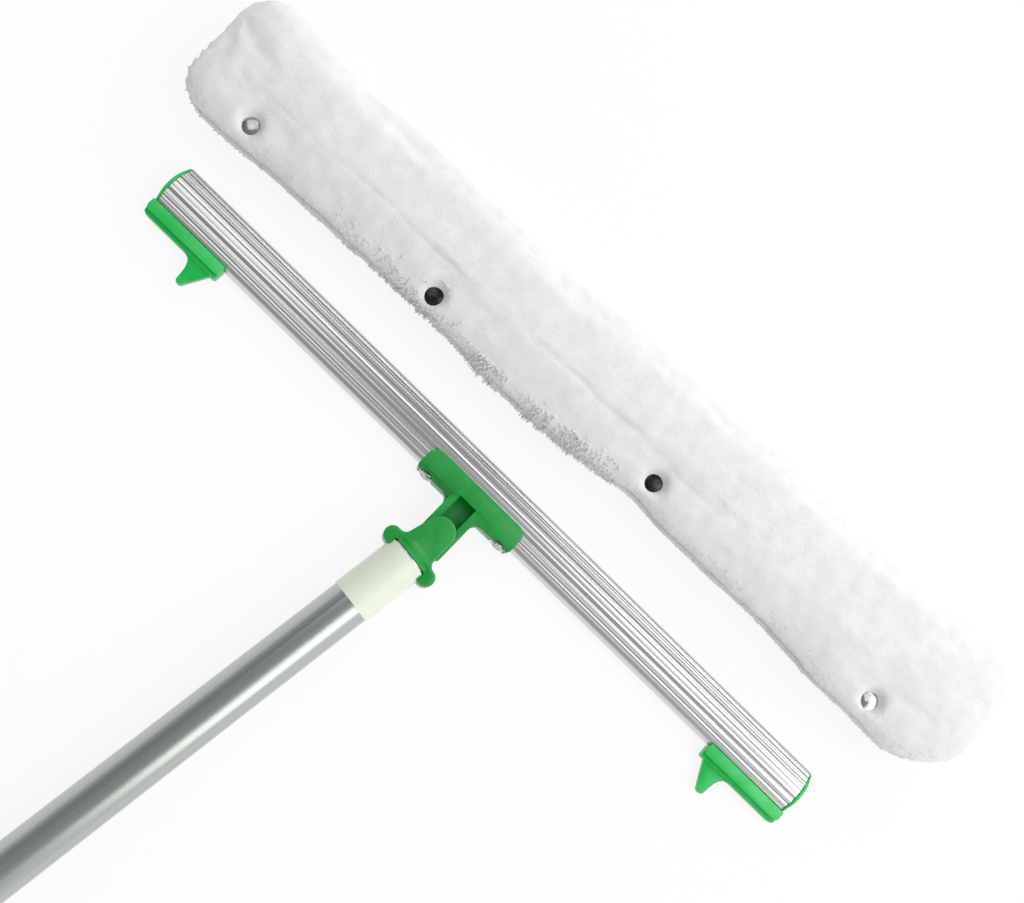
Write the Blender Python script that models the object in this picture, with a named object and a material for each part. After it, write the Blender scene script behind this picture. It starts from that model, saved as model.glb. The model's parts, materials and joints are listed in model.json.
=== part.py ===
"""Floor wax applicator: a T-bar head on a long pole, with its fleece sleeve lying beside it.

The bar's flat underside lies on z = 0 and its middle is the origin. The bar runs along X,
the pole leaves towards -Y, and the sleeve lies on the far side, towards +Y.
"""
import math

import bmesh
import bpy
from mathutils import Matrix, Vector

# Clearances and shared values
GAP = 0.0003
OVERRUN = 0.002
FLOOR_CLEARANCE = 0.0006
MERGE_DISTANCE = 0.00001
QUARTER = math.pi / 2
EDGE_STEP = 0.0006

# Bar, an arched hollow extrusion with a flat underside
BAR_LENGTH = 0.400
BAR_WIDTH = 0.0244
BAR_HEIGHT = 0.0106
BAR_WALL = 0.0013
BAR_SHOULDER_HALF_SPACING = 0.0093
BAR_SHOULDER_HEIGHT = 0.0068
BAR_FLANK_HEIGHT = 0.0032
BAR_CORNER_RADIUS = 0.0006
CENTRE_BAND_WIDTH = 0.0092
CENTRE_BAND_DEPTH = 0.0003
CENTRE_LINE_SPACING = 0.0044
CENTRE_LINE_WIDTH = 0.0005
CENTRE_LINE_HEIGHT = 0.0002
BEAD_WIDTH = 0.0017
BEAD_HEIGHT = 0.0002
GROOVE_WIDTH = 0.0013
GROOVE_DEPTH = 0.0004
STEP_WIDTH = 0.0002

# End caps, one moulding each: plate, plug, edge leg and spur
END_PLATE_THICKNESS = 0.0014
END_PLATE_EDGE = 0.0006
END_PLATE_RIM = 0.0004
END_EDGE_ROUNDING = 0.0003
END_PLUG_LENGTH = 0.014
LEG_LENGTH = 0.0455
LEG_WIDTH = 0.0060
LEG_HEIGHT = 0.0073
LEG_LAP = 0.0018
LEG_LIP_WIDTH = 0.0021
LEG_LIP_DROP = 0.0023
LEG_OUTER_ROUNDING = 0.0022
LEG_INNER_ROUNDING = 0.0012
SPUR_LENGTH = 0.0128
SPUR_BASE = 0.0190
SPUR_INNER_LEAN = 0.0085
SPUR_TIP_RADIUS = 0.0019
SPUR_TIP_START = math.radians(205)
SPUR_TIP_END = math.radians(350)
SPUR_BOTTOM = 0.0012
SPUR_TOP = 0.0042
SPUR_HOLLOW = 0.0030
SPUR_HOLLOW_LEAN_SHARE = 0.45

# T-shaped bracket that grips the bar's handle side, set a little left of the bar's middle
HEAD_CENTRE_X = -0.0011
HEAD_LENGTH = 0.0578
HEAD_TOP = 0.0133
HEAD_FRONT_FROM_RIDGE = 0.0022
HEAD_LEVEL_WIDTH = 0.0062
HEAD_BACK_DROP = 0.0018
HEAD_BACK_THICKNESS = 0.0028
HEAD_FRONT_CORNER = 0.0050
HEAD_BACK_CORNER = 0.0022
HEAD_EDGE_ROUNDING = 0.0004
STEM_WIDTH = 0.0168
STEM_DROP = 0.0005
STEM_CHEEK_RISE = 0.0036
CHEEK_THICKNESS = 0.0035
STEM_ROOT_FILLET = 0.0040
CHEEK_WING_RADIUS = 0.0030
STEM_END_RADIUS = 0.0124
STEM_END_WALL = 0.0022
WEB_THICKNESS = 0.0020
WEB_CURVE_RADIUS = 0.0045
POCKET_INTO_HEAD = 0.0042
PIN_BOSS_RADIUS = 0.0049
PIN_STANDOFF = 0.0149
PIN_RADIUS = 0.0025
PIN_HEAD_RADIUS = 0.0042
PIN_HEAD_HEIGHT = 0.0011

# Screws and the nut strip inside the bar
SCREW_SPACING = 0.0458
SCREW_HEIGHT = 0.0050
SCREW_HEAD_RADIUS = 0.00445
SCREW_HEAD_HEIGHT = 0.0023
SCREW_SHANK_RADIUS = 0.0016
SCREW_SHANK_LENGTH = 0.0088
SCREW_SLOT_WIDTH = 0.0011
SCREW_SLOT_DEPTH = 0.0009
SCREW_SLOT_LENGTH = 0.0050
SCREW_SEAT_DEPTH = 0.0015
SCREW_SCALLOP_RADIUS = 0.0062
SCREW_SCALLOP_DEPTH = 0.0018
NUT_PLATE_LENGTH = 0.0560
NUT_PLATE_WIDTH = 0.0064

# Pole socket: a fork on the stem, a neck with two ears, and a spigot inside the pole
SWIVEL_ANGLE = math.radians(8.0)
TONGUE_WIDTH = 0.0148
LOWER_TONGUE_THICKNESS = 0.0037
UPPER_TONGUE_THICKNESS = 0.0045
TONGUE_ROUNDING = 0.0015
THROAT_CLEARANCE = 0.0005
THROAT_HALF_ANGLE = math.radians(50)
NECK_WIDTH = 0.0172
NECK_START = 0.0095
NECK_FILLET = 0.0034
EAR_SPAN = 0.0326
EAR_ROUNDING = 0.0041
EAR_REACH = 0.0045
EAR_JAW_SPACING = 0.0180
SHOULDER_DISTANCE = 0.0168
SHOULDER_RADIUS = 0.0113
FLARE_START = 0.0065
FLARE_START_SQUARENESS = 3.2
SPIGOT_LENGTH = 0.0460
SPIGOT_TAPER = 0.0004
SPIGOT_CHAMFER = 0.0012
SPIGOT_CLEARANCE = 0.0003
SPIGOT_FLUTES = 6
SPIGOT_FLUTE_RADIUS = 0.0016
SPIGOT_FLUTE_START = 0.0080

# Pole
POLE_DIAMETER = 0.0210
POLE_WALL = 0.0011
POLE_LENGTH = 1.450
POLE_AXIS_HEIGHT = 0.0122
LABEL_LENGTH = 0.0318
LABEL_START = 0.0006
LABEL_THICKNESS = 0.00025

# Cap on the pole's far end
FAR_CAP_SKIRT = 0.0220
FAR_CAP_FLOOR = 0.0030
FAR_CAP_ROUNDING = 0.0020
HANG_TAB_LENGTH = 0.0200
HANG_TAB_WIDTH = 0.0190
HANG_TAB_THICKNESS = 0.0080
HANG_HOLE_RADIUS = 0.0045
HANG_TAB_ROUNDING = 0.0015

# Sleeve: a fleece pad folded in two along its far edge, snapped along its near edge
SLEEVE_LENGTH = 0.478
SLEEVE_WIDTH = 0.0680
SLEEVE_HEIGHT = 0.0280
SLEEVE_CENTRE_X = 0.0035
SLEEVE_CENTRE_Y = 0.0729
SLEEVE_TURN = math.radians(1.9)
SLEEVE_FLAT = 0.0005
LEFT_FAR_ROUNDING = 0.0230
LEFT_NEAR_ROUNDING = 0.0120
RIGHT_FAR_ROUNDING = 0.0140
RIGHT_NEAR_ROUNDING = 0.0300
LEFT_FAR_END_SHARE = 0.52
LEFT_NEAR_END_SHARE = 0.74
RIGHT_FAR_END_SHARE = 0.88
RIGHT_NEAR_END_SHARE = 0.30
SLEEVE_CROWN_ROUNDING = 0.0180
SLEEVE_LOBE_DEPTH = 0.0100
SLEEVE_LOBE_REACH = 0.0300
SLEEVE_END_DROP = 0.0055
FOLD_EDGE_RESERVE = 0.0012
FOLD_STRIP_WIDTH = 0.0090
FOLD_STRIP_INSET = 0.0010
SECTION_SQUARENESS = 2.8
SLEEVE_STATIONS = 28
SLEEVE_RING_POINTS = 22
END_ROUNDNESS_SHARE = 0.95
CROWDING_SHARE = 0.65
STATION_SHARES = (-0.50, -0.44, -0.36, -0.27, -0.17, -0.08, 0.0, 0.09, 0.18, 0.27, 0.36, 0.44, 0.50)
FAR_EDGE_SHARES = (0.98, 0.96, 0.84, 0.92, 0.89, 0.86, 0.96, 0.94, 1.00, 0.98, 0.98, 1.03, 1.02)
NEAR_EDGE_SHARES = (0.98, 1.03, 0.98, 0.97, 0.97, 1.05, 1.04, 0.90, 0.98, 0.98, 1.09, 1.12, 1.02)
ACROSS_SHARES = (-1.00, -0.76, -0.48, -0.20, 0.10, 0.50, 1.00)
LOBE_SHARES = (0.45, 0.22, 0.85, 1.30, 0.75, 0.00, 0.12)
CROWN_SHARES = (0.93, 1.00, 0.97, 0.93, 0.98, 0.94, 0.97, 0.94, 0.98, 0.95, 0.99, 1.00, 0.95)

# Snap fasteners
SNAP_PLACE_SHARES = (-0.410, -0.1725, 0.1025, 0.395)
SNAP_ACROSS_SHARES = (-0.73, -0.75, -0.61, -0.81)
SNAP_CAP_RADIUS = 0.0050
SNAP_CAP_HEIGHT = 0.0017
SNAP_CAP_RIM_SHARE = 0.4
SNAP_CAP_DEPTH_IN_PILE = 0.0072
SNAP_DIMPLE_RADIUS = 0.0072
SNAP_POST_RADIUS = 0.0015
SNAP_SOCKET_RADIUS = 0.0046
SNAP_SOCKET_HEIGHT = 0.0025
SNAP_SOCKET_BORE = 0.0024
SNAP_SOCKET_BORE_DEPTH = 0.0017
SNAP_SOCKET_ROUNDING = 0.0005
SNAP_STUD_BASE_HEIGHT = 0.0014
SNAP_STUD_NECK_RADIUS = 0.0016
SNAP_STUD_HEAD_RADIUS = 0.0020
SNAP_STUD_HEAD_HEIGHT = 0.0012

# Facet counts
ROUND_STEPS = 48
SMALL_STEPS = 24
SNAP_STEPS = 16
FLARE_STEPS = 32
ARC_STEPS = 6
FINE_ARC_STEPS = 14
PLATE_STEPS = 16

# Sizes worked out from the values above
BAR_HALF = BAR_WIDTH / 2
ARCH_RISE = BAR_HEIGHT - BAR_SHOULDER_HEIGHT
ARCH_RADIUS = (BAR_SHOULDER_HALF_SPACING ** 2 + ARCH_RISE ** 2) / (2 * ARCH_RISE)
ARCH_CENTRE = BAR_HEIGHT - ARCH_RADIUS
BAR_SIDE_Y = -(BAR_HALF + GAP)
BAR_END_X = BAR_LENGTH / 2 + GAP
LEG_INNER_X = BAR_END_X + END_PLATE_THICKNESS - LEG_LENGTH
LEG_LAP_Y = BAR_SIDE_Y + LEG_LAP
HEAD_FRONT_Y = -HEAD_FRONT_FROM_RIDGE
HEAD_BACK_Y = BAR_SIDE_Y - HEAD_BACK_THICKNESS
HEAD_SLOPE_Y = HEAD_FRONT_Y - HEAD_LEVEL_WIDTH
HEAD_SLOPE_RUN = HEAD_SLOPE_Y - HEAD_BACK_Y
HEAD_SLOPE_RADIUS = (HEAD_SLOPE_RUN ** 2 + HEAD_BACK_DROP ** 2) / (2 * HEAD_BACK_DROP)
HEAD_SLOPE_ANGLE = math.asin(HEAD_SLOPE_RUN / HEAD_SLOPE_RADIUS)
SCREW_SEAT_Y = HEAD_BACK_Y + SCREW_SEAT_DEPTH
PIN_Y = HEAD_BACK_Y - PIN_STANDOFF
POCKET_NEAR_Y = HEAD_BACK_Y + POCKET_INTO_HEAD
FORK_BOTTOM = FLOOR_CLEARANCE
STEM_BOTTOM = FORK_BOTTOM + LOWER_TONGUE_THICKNESS + GAP
STEM_TOP = HEAD_TOP - STEM_DROP
CHEEK_FLUSH_Y = HEAD_SLOPE_Y - math.sqrt((2 * HEAD_SLOPE_RADIUS - STEM_DROP) * STEM_DROP)
UPPER_TONGUE_BOTTOM = STEM_TOP + GAP
FORK_TOP = UPPER_TONGUE_BOTTOM + UPPER_TONGUE_THICKNESS
THROAT_RADIUS = STEM_END_RADIUS + THROAT_CLEARANCE
EAR_TOP_DISTANCE = NECK_START + NECK_FILLET
EAR_END_DISTANCE = SHOULDER_DISTANCE + EAR_REACH
POLE_RADIUS = POLE_DIAMETER / 2
POLE_BORE = POLE_RADIUS - POLE_WALL
SPIGOT_RADIUS = POLE_BORE - SPIGOT_CLEARANCE
LABEL_INNER_RADIUS = POLE_RADIUS + GAP
POLE_SEAT_RADIUS = LABEL_INNER_RADIUS + LABEL_THICKNESS + GAP
POLE_START = SHOULDER_DISTANCE + GAP
POLE_END = POLE_START + POLE_LENGTH
SLEEVE_HALF = SLEEVE_WIDTH / 2
POCKET_HEIGHT = 3 * GAP + SNAP_SOCKET_HEIGHT + SNAP_STUD_BASE_HEIGHT
LAYER_HEIGHT = (SLEEVE_HEIGHT - POCKET_HEIGHT) / 2
UPPER_LAYER_BOTTOM = LAYER_HEIGHT + POCKET_HEIGHT
FOLD_AXIS_OFFSET = SLEEVE_HALF * max(FAR_EDGE_SHARES) + FOLD_EDGE_RESERVE


def clear_scene():
    for thing in list(bpy.data.objects):
        bpy.data.objects.remove(thing, do_unlink=True)


def material(name, colour, roughness, metallic=0.0):
    made = bpy.data.materials.new(name)
    made.use_nodes = True
    shader = made.node_tree.nodes["Principled BSDF"]
    shader.inputs["Base Color"].default_value = (*colour, 1.0)
    shader.inputs["Roughness"].default_value = roughness
    shader.inputs["Metallic"].default_value = metallic
    made.diffuse_color = (*colour, 1.0)
    return made


def empty(name, location, turn=0.0, parent=None):
    frame = bpy.data.objects.new(name, None)
    frame.location = location
    frame.rotation_euler = (0, 0, turn)
    frame.parent = parent
    bpy.context.collection.objects.link(frame)
    return frame


def add_object(name, mesh, look=None, parent=None):
    thing = bpy.data.objects.new(name, mesh)
    thing.parent = parent
    if look is not None:
        mesh.materials.append(look)
    bpy.context.collection.objects.link(thing)
    return thing


def mesh_from(shape, name, smooth_angle=35):
    bmesh.ops.remove_doubles(shape, verts=shape.verts, dist=MERGE_DISTANCE)
    bmesh.ops.recalc_face_normals(shape, faces=shape.faces)
    mesh = bpy.data.meshes.new(name)
    shape.to_mesh(mesh)
    shape.free()
    mesh.shade_smooth()
    mesh.set_sharp_from_angle(angle=math.radians(smooth_angle))
    return mesh


def prism(name, outline, direction, low, high):
    """A closed prism: the outline, in the other two axes in X, Y, Z order, from low to high."""
    order = {"X": lambda a, b, c: (c, a, b), "Y": lambda a, b, c: (a, c, b), "Z": lambda a, b, c: (a, b, c)}
    put = order[direction]
    shape = bmesh.new()
    start = [shape.verts.new(put(a, b, low)) for a, b in outline]
    face = shape.faces.new(start)
    grown = bmesh.ops.extrude_face_region(shape, geom=[face])
    moved = [item for item in grown["geom"] if isinstance(item, bmesh.types.BMVert)]
    bmesh.ops.translate(shape, verts=moved, vec=put(0, 0, high - low))
    return mesh_from(shape, name)


def turned(name, profile, steps=ROUND_STEPS):
    """A solid turned about Z from a profile of (radius, height) points that starts and ends on the axis."""
    shape = bmesh.new()
    points = [shape.verts.new((radius, 0, height)) for radius, height in profile]
    edges = [shape.edges.new(pair) for pair in zip(points, points[1:])]
    bmesh.ops.spin(shape, geom=points + edges, cent=(0, 0, 0), axis=(0, 0, 1),
                   angle=math.tau, steps=steps, use_merge=True)
    return mesh_from(shape, name)


def ring_turned(name, profile, steps=ROUND_STEPS):
    """A ring turned about Z from a closed profile of (radius, height) points."""
    shape = bmesh.new()
    points = [shape.verts.new((radius, 0, height)) for radius, height in profile]
    edges = [shape.edges.new(pair) for pair in zip(points, points[1:] + points[:1])]
    bmesh.ops.spin(shape, geom=points + edges, cent=(0, 0, 0), axis=(0, 0, 1),
                   angle=math.tau, steps=steps, use_merge=True)
    return mesh_from(shape, name)


def loft(name, rings):
    """A closed skin through rings of as many points each, with flat ends."""
    shape = bmesh.new()
    rows = [[shape.verts.new(point) for point in ring] for ring in rings]
    for lower, upper in zip(rows, rows[1:]):
        for i in range(len(lower)):
            j = (i + 1) % len(lower)
            shape.faces.new((lower[i], lower[j], upper[j], upper[i]))
    shape.faces.new(rows[0])
    shape.faces.new(rows[-1])
    return mesh_from(shape, name, 50)


def guide(name, mesh, parent=None):
    """A shape that only cuts or joins others, and isn't a piece itself."""
    thing = add_object(name, mesh, parent=parent)
    thing.hide_render = True
    thing.display_type = "WIRE"
    return thing


def combine(target, tool, operation):
    step = target.modifiers.new(tool.name, "BOOLEAN")
    step.operation = operation
    step.object = tool
    return step


def bevel(target, width, segments, angle=40):
    step = target.modifiers.new("rounding", "BEVEL")
    step.width = width
    step.segments = segments
    step.limit_method = "ANGLE"
    step.angle_limit = math.radians(angle)
    step.harden_normals = False
    return step


def arc(centre, radius, start, end, steps=ARC_STEPS):
    """Points on an arc, with its angles in radians from the first axis."""
    angles = [start + (end - start) * i / steps for i in range(steps + 1)]
    return [(centre[0] + radius * math.cos(a), centre[1] + radius * math.sin(a)) for a in angles]


def ease(share):
    return share * share * (3 - 2 * share)


def arch_height(offset):
    """Height of the bar's smooth outer surface at a distance from its middle line."""
    reach = abs(offset)
    if reach <= BAR_SHOULDER_HALF_SPACING:
        return ARCH_CENTRE + math.sqrt(ARCH_RADIUS ** 2 - reach ** 2)
    share = min(1.0, (reach - BAR_SHOULDER_HALF_SPACING) / (BAR_HALF - BAR_SHOULDER_HALF_SPACING))
    return BAR_FLANK_HEIGHT + (BAR_SHOULDER_HEIGHT - BAR_FLANK_HEIGHT) * math.sqrt(1 - share ** 2)


def between(first, last, steps):
    return [first + (last - first) * i / steps for i in range(steps + 1)]


def bar_half_outline():
    """The bar's outer outline from its lower corner up to the middle of its arch, as (y, z)."""
    corner = (BAR_HALF - BAR_CORNER_RADIUS, BAR_CORNER_RADIUS)
    points = arc(corner, BAR_CORNER_RADIUS, -QUARTER, 0, 3)
    depth = BAR_HALF - BAR_SHOULDER_HALF_SPACING
    rise = BAR_SHOULDER_HEIGHT - BAR_FLANK_HEIGHT
    for turn in between(0, QUARTER, ARC_STEPS):
        y = BAR_SHOULDER_HALF_SPACING + depth * math.cos(turn)
        points.append((y, BAR_FLANK_HEIGHT + rise * math.sin(turn)))
    band = CENTRE_BAND_WIDTH / 2
    bead = band + BEAD_WIDTH
    groove = bead + GROOVE_WIDTH
    points += [(y, arch_height(y)) for y in between(BAR_SHOULDER_HALF_SPACING, groove, 2)[1:]]
    points += [(y, arch_height(y) - GROOVE_DEPTH) for y in between(groove - STEP_WIDTH, bead + STEP_WIDTH, 1)]
    points.append((bead, arch_height(bead)))
    crest = band + BEAD_WIDTH / 2
    points.append((crest, arch_height(crest) + BEAD_HEIGHT))
    points.append((band, arch_height(band)))
    line = CENTRE_LINE_SPACING / 2
    outside = line + CENTRE_LINE_WIDTH / 2
    inside = line - CENTRE_LINE_WIDTH / 2
    points += [(y, arch_height(y) - CENTRE_BAND_DEPTH) for y in between(band - STEP_WIDTH, outside, 2)]
    points.append((line, arch_height(line) - CENTRE_BAND_DEPTH + CENTRE_LINE_HEIGHT))
    points += [(y, arch_height(y) - CENTRE_BAND_DEPTH) for y in between(inside, 0, 2)]
    return points


def bar_outline():
    half = bar_half_outline()
    return half + [(-y, z) for y, z in reversed(half[:-1])]


def cavity_height(y, inset):
    """Height of the bar's inner roof, drawn in by an inset, at a distance from its middle line."""
    edge = BAR_SHOULDER_HALF_SPACING - inset
    roof = BAR_WALL + CENTRE_BAND_DEPTH + inset
    if abs(y) <= edge:
        return arch_height(y) - roof
    side = BAR_HALF - BAR_WALL - inset
    share = (abs(y) - edge) / (side - edge)
    start = arch_height(edge) - roof
    return start + (BAR_FLANK_HEIGHT - inset - start) * share


def cavity_outline(inset):
    """The bar's inner outline, drawn in by an inset from the inner wall."""
    side = BAR_HALF - BAR_WALL - inset
    edge = BAR_SHOULDER_HALF_SPACING - inset
    half = [(side, BAR_WALL + inset), (side, cavity_height(side, inset))]
    half += [(y, cavity_height(y, inset)) for y in between(edge, 0, 5)]
    return half + [(-y, z) for y, z in reversed(half[:-1])]


def build_bar(look):
    profile = prism("bar_extrusion", bar_outline(), "X", -BAR_LENGTH / 2, BAR_LENGTH / 2)
    bar = add_object("bar_extrusion", profile, look)
    reach = BAR_LENGTH / 2 + OVERRUN
    cavity = guide("bar_cavity", prism("bar_cavity", cavity_outline(0), "X", -reach, reach))
    combine(bar, cavity, "DIFFERENCE")
    for side in (-1, 1):
        hole = round_bar("bar_screw_hole", SCREW_SHANK_RADIUS + GAP, BAR_HALF + OVERRUN, BAR_HALF / 2)
        hole.location = (HEAD_CENTRE_X + side * SCREW_SPACING / 2, 0, SCREW_HEIGHT)
        combine(bar, hole, "DIFFERENCE")
    return bar


def round_bar(name, radius, far, near, parent=None):
    """A round guide along -Y, from a distance near to a distance far of the local origin."""
    mesh = turned(name, [(0, near), (radius, near), (radius, far), (0, far)], SMALL_STEPS)
    mesh.transform(Matrix.Rotation(QUARTER, 4, "X"))
    return guide(name, mesh, parent)


def spur_outline():
    """Outline of the shark-fin spur for the +X cap, as (x, y), standing on the leg's outer face."""
    base = BAR_SIDE_Y - LEG_WIDTH / 2
    face = BAR_SIDE_Y - LEG_WIDTH
    tip = (LEG_INNER_X + SPUR_INNER_LEAN + SPUR_TIP_RADIUS, face - SPUR_LENGTH + SPUR_TIP_RADIUS)
    outer = LEG_INNER_X + SPUR_BASE
    points = [(LEG_INNER_X + LEG_INNER_ROUNDING, base)]
    points += arc(tip, SPUR_TIP_RADIUS, SPUR_TIP_START, SPUR_TIP_END)
    start = points[-1]
    end = (outer, face)
    for share in between(0, 1, ARC_STEPS)[1:]:
        x = start[0] + (end[0] - start[0]) * share
        y = start[1] + (end[1] - start[1]) * share
        bulge = SPUR_HOLLOW * math.sin(math.pi * share)
        points.append((x - bulge * SPUR_HOLLOW_LEAN_SHARE, y + bulge))
    points.append((outer, base))
    return points


def flank_points(last):
    """Points (y, z) just clear of the bar's handle-side flank, from its side up to a last y."""
    return [(y - GAP / 2, arch_height(y) + GAP) for y in between(-BAR_HALF, last, 5)[1:]]


def leg_section(width):
    """Section of the edge leg as (y, z): it stands beside the bar and laps over its flank."""
    back = BAR_SIDE_Y - width
    points = [(back, LEG_HEIGHT), (back, 2 * FLOOR_CLEARANCE), (BAR_SIDE_Y, 2 * FLOOR_CLEARANCE)]
    points.append((BAR_SIDE_Y, BAR_FLANK_HEIGHT))
    points += flank_points(LEG_LAP_Y)
    points.append((LEG_LAP_Y - GAP / 2, LEG_HEIGHT))
    return points


def leg_plan(width, bar_side):
    """Plan of the edge leg for the +X cap, as (x, y), with its corners rounded away from the bar."""
    outer = LEG_INNER_X + LEG_LENGTH
    back = BAR_SIDE_Y - width
    points = [(outer, bar_side), (LEG_INNER_X, bar_side)]
    inner_centre = (LEG_INNER_X + LEG_INNER_ROUNDING, back + LEG_INNER_ROUNDING)
    points += arc(inner_centre, LEG_INNER_ROUNDING, 2 * QUARTER, 3 * QUARTER, 3)
    outer_centre = (outer - LEG_OUTER_ROUNDING, back + LEG_OUTER_ROUNDING)
    points += arc(outer_centre, LEG_OUTER_ROUNDING, 3 * QUARTER, 4 * QUARTER, 4)
    return points


def plate_rings():
    """Rings across the end plate for the +X cap: its top follows the arch, its face swells outwards."""
    rings = []
    for y in between(BAR_SIDE_Y - EDGE_STEP, BAR_HALF, PLATE_STEPS):
        toward_handle = (BAR_HALF - y) / BAR_WIDTH
        rim = END_PLATE_RIM * toward_handle
        swell = (END_PLATE_THICKNESS - END_PLATE_EDGE) * (1 - (y / BAR_HALF) ** 2)
        outer = BAR_END_X + END_PLATE_EDGE + swell
        top = arch_height(y) + rim
        low = FLOOR_CLEARANCE / 2
        rings.append([(BAR_END_X, y, low), (BAR_END_X, y, top), (outer, y, top), (outer, y, low)])
    return rings


def build_end_cap(name, side, look):
    plate = loft(name, plate_rings())
    plug_start = BAR_LENGTH / 2 - END_PLUG_LENGTH
    plug = prism(name + "_plug", cavity_outline(GAP), "X", plug_start, BAR_END_X + END_PLATE_EDGE / 2)
    narrow = LEG_WIDTH - LEG_LIP_WIDTH
    leg_end = LEG_INNER_X + LEG_LENGTH
    upper = prism(name + "_leg", leg_section(narrow), "X", LEG_INNER_X - OVERRUN, leg_end)
    corners = prism(name + "_corners", leg_plan(narrow, BAR_HALF), "Z", -OVERRUN, LEG_HEIGHT + OVERRUN)
    lip_top = LEG_HEIGHT - LEG_LIP_DROP
    lip = prism(name + "_lip", leg_plan(LEG_WIDTH, BAR_SIDE_Y), "Z", FLOOR_CLEARANCE, lip_top)
    spur = prism(name + "_spur", spur_outline(), "Z", SPUR_BOTTOM, SPUR_TOP)
    parts = [plate, plug, lip, spur, upper, corners]
    if side < 0:
        for mesh in parts:
            mesh.transform(Matrix.Scale(-1, 4, (1, 0, 0)))
            mesh.flip_normals()
    cap = add_object(name, plate, look)
    leg = guide(upper.name, upper)
    combine(leg, guide(corners.name, corners), "INTERSECT")
    for mesh in (plug, lip, spur):
        combine(cap, guide(mesh.name, mesh), "UNION")
    combine(cap, leg, "UNION")
    bevel(cap, END_EDGE_ROUNDING, 2)
    return cap


def head_section():
    """Section of the bracket's head as (y, z): a saddle on the arch and a wall behind the bar."""
    clearance = BEAD_HEIGHT + GAP
    points = [(HEAD_FRONT_Y, arch_height(HEAD_FRONT_Y) + clearance), (HEAD_FRONT_Y, HEAD_TOP)]
    slope_centre = (HEAD_SLOPE_Y, HEAD_TOP - HEAD_SLOPE_RADIUS)
    points += arc(slope_centre, HEAD_SLOPE_RADIUS, QUARTER, QUARTER + HEAD_SLOPE_ANGLE)
    points += [(HEAD_BACK_Y, FLOOR_CLEARANCE), (BAR_SIDE_Y, FLOOR_CLEARANCE), (BAR_SIDE_Y, BAR_FLANK_HEIGHT)]
    points += flank_points(-BAR_SHOULDER_HALF_SPACING)
    saddle = between(-BAR_SHOULDER_HALF_SPACING, HEAD_FRONT_Y, 6)[1:-1]
    points += [(y, arch_height(y) + clearance) for y in saddle]
    return points


def head_plan():
    """Plan of the head as (x, y), with large corners on the ridge side and small ones behind."""
    half = HEAD_LENGTH / 2
    front_x = half - HEAD_FRONT_CORNER
    front_y = HEAD_FRONT_Y - HEAD_FRONT_CORNER
    back_x = half - HEAD_BACK_CORNER
    back_y = HEAD_BACK_Y + HEAD_BACK_CORNER
    points = arc((front_x, front_y), HEAD_FRONT_CORNER, 0, QUARTER)
    points += arc((-front_x, front_y), HEAD_FRONT_CORNER, QUARTER, 2 * QUARTER)
    points += arc((-back_x, back_y), HEAD_BACK_CORNER, 2 * QUARTER, 3 * QUARTER)
    points += arc((back_x, back_y), HEAD_BACK_CORNER, 3 * QUARTER, 4 * QUARTER)
    return points


def stem_plan(root_points):
    """Plan of the stem as (x, y): its root on one side, straight cheeks and an end arc round the pin."""
    side_angle = math.asin(STEM_WIDTH / 2 / STEM_END_RADIUS)
    end = arc((0, PIN_Y), STEM_END_RADIUS, -QUARTER + side_angle, -QUARTER - side_angle, 8)
    left = [(-x, y) for x, y in reversed(root_points)]
    return root_points + end + left


def filleted_root(radius, edge_y, start_y):
    """A root for the stem, from a start inside the head, flaring at an edge by a fillet's radius."""
    half = STEM_WIDTH / 2
    fillet_centre = (half + radius, edge_y - radius)
    return [(half + radius, start_y)] + arc(fillet_centre, radius, QUARTER, 2 * QUARTER, 4)


def pocket_section():
    """Section of the stem's pocket as (y, z), with its floor curving up at both ends."""
    near = POCKET_NEAR_Y
    far = PIN_Y - STEM_END_RADIUS + STEM_END_WALL
    floor = STEM_BOTTOM + WEB_THICKNESS
    top = HEAD_TOP + OVERRUN
    height = floor + WEB_CURVE_RADIUS
    points = [(near, top)]
    points += arc((near - WEB_CURVE_RADIUS, height), WEB_CURVE_RADIUS, 0, -QUARTER, 4)
    points += arc((far + WEB_CURVE_RADIUS, height), WEB_CURVE_RADIUS, -QUARTER, -2 * QUARTER, 4)
    points.append((far, top))
    return points


def cut_screw_seat(bracket, side, head):
    """Cuts one screw's scallop, the counterbore for its head and the hole for its shank."""
    x = side * SCREW_SPACING / 2
    back = -HEAD_BACK_Y + OVERRUN
    scallop = upright("screw_scallop", SCREW_SCALLOP_RADIUS, -OVERRUN, HEAD_TOP + OVERRUN, head)
    scallop.location = (x, HEAD_BACK_Y + SCREW_SCALLOP_DEPTH - SCREW_SCALLOP_RADIUS, 0)
    counterbore = round_bar("screw_counterbore", SCREW_HEAD_RADIUS + GAP, back, -SCREW_SEAT_Y, head)
    counterbore.location = (x, 0, SCREW_HEIGHT)
    shaft = round_bar("bracket_screw_hole", SCREW_SHANK_RADIUS + GAP, back, BAR_HALF - OVERRUN, head)
    shaft.location = (x, 0, SCREW_HEIGHT)
    for tool in (scallop, counterbore, shaft):
        combine(bracket, tool, "DIFFERENCE")


def upright(name, radius, low, high, parent):
    """A round guide along Z."""
    profile = [(0, low), (radius, low), (radius, high), (0, high)]
    return guide(name, turned(name, profile, SMALL_STEPS), parent)


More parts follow.
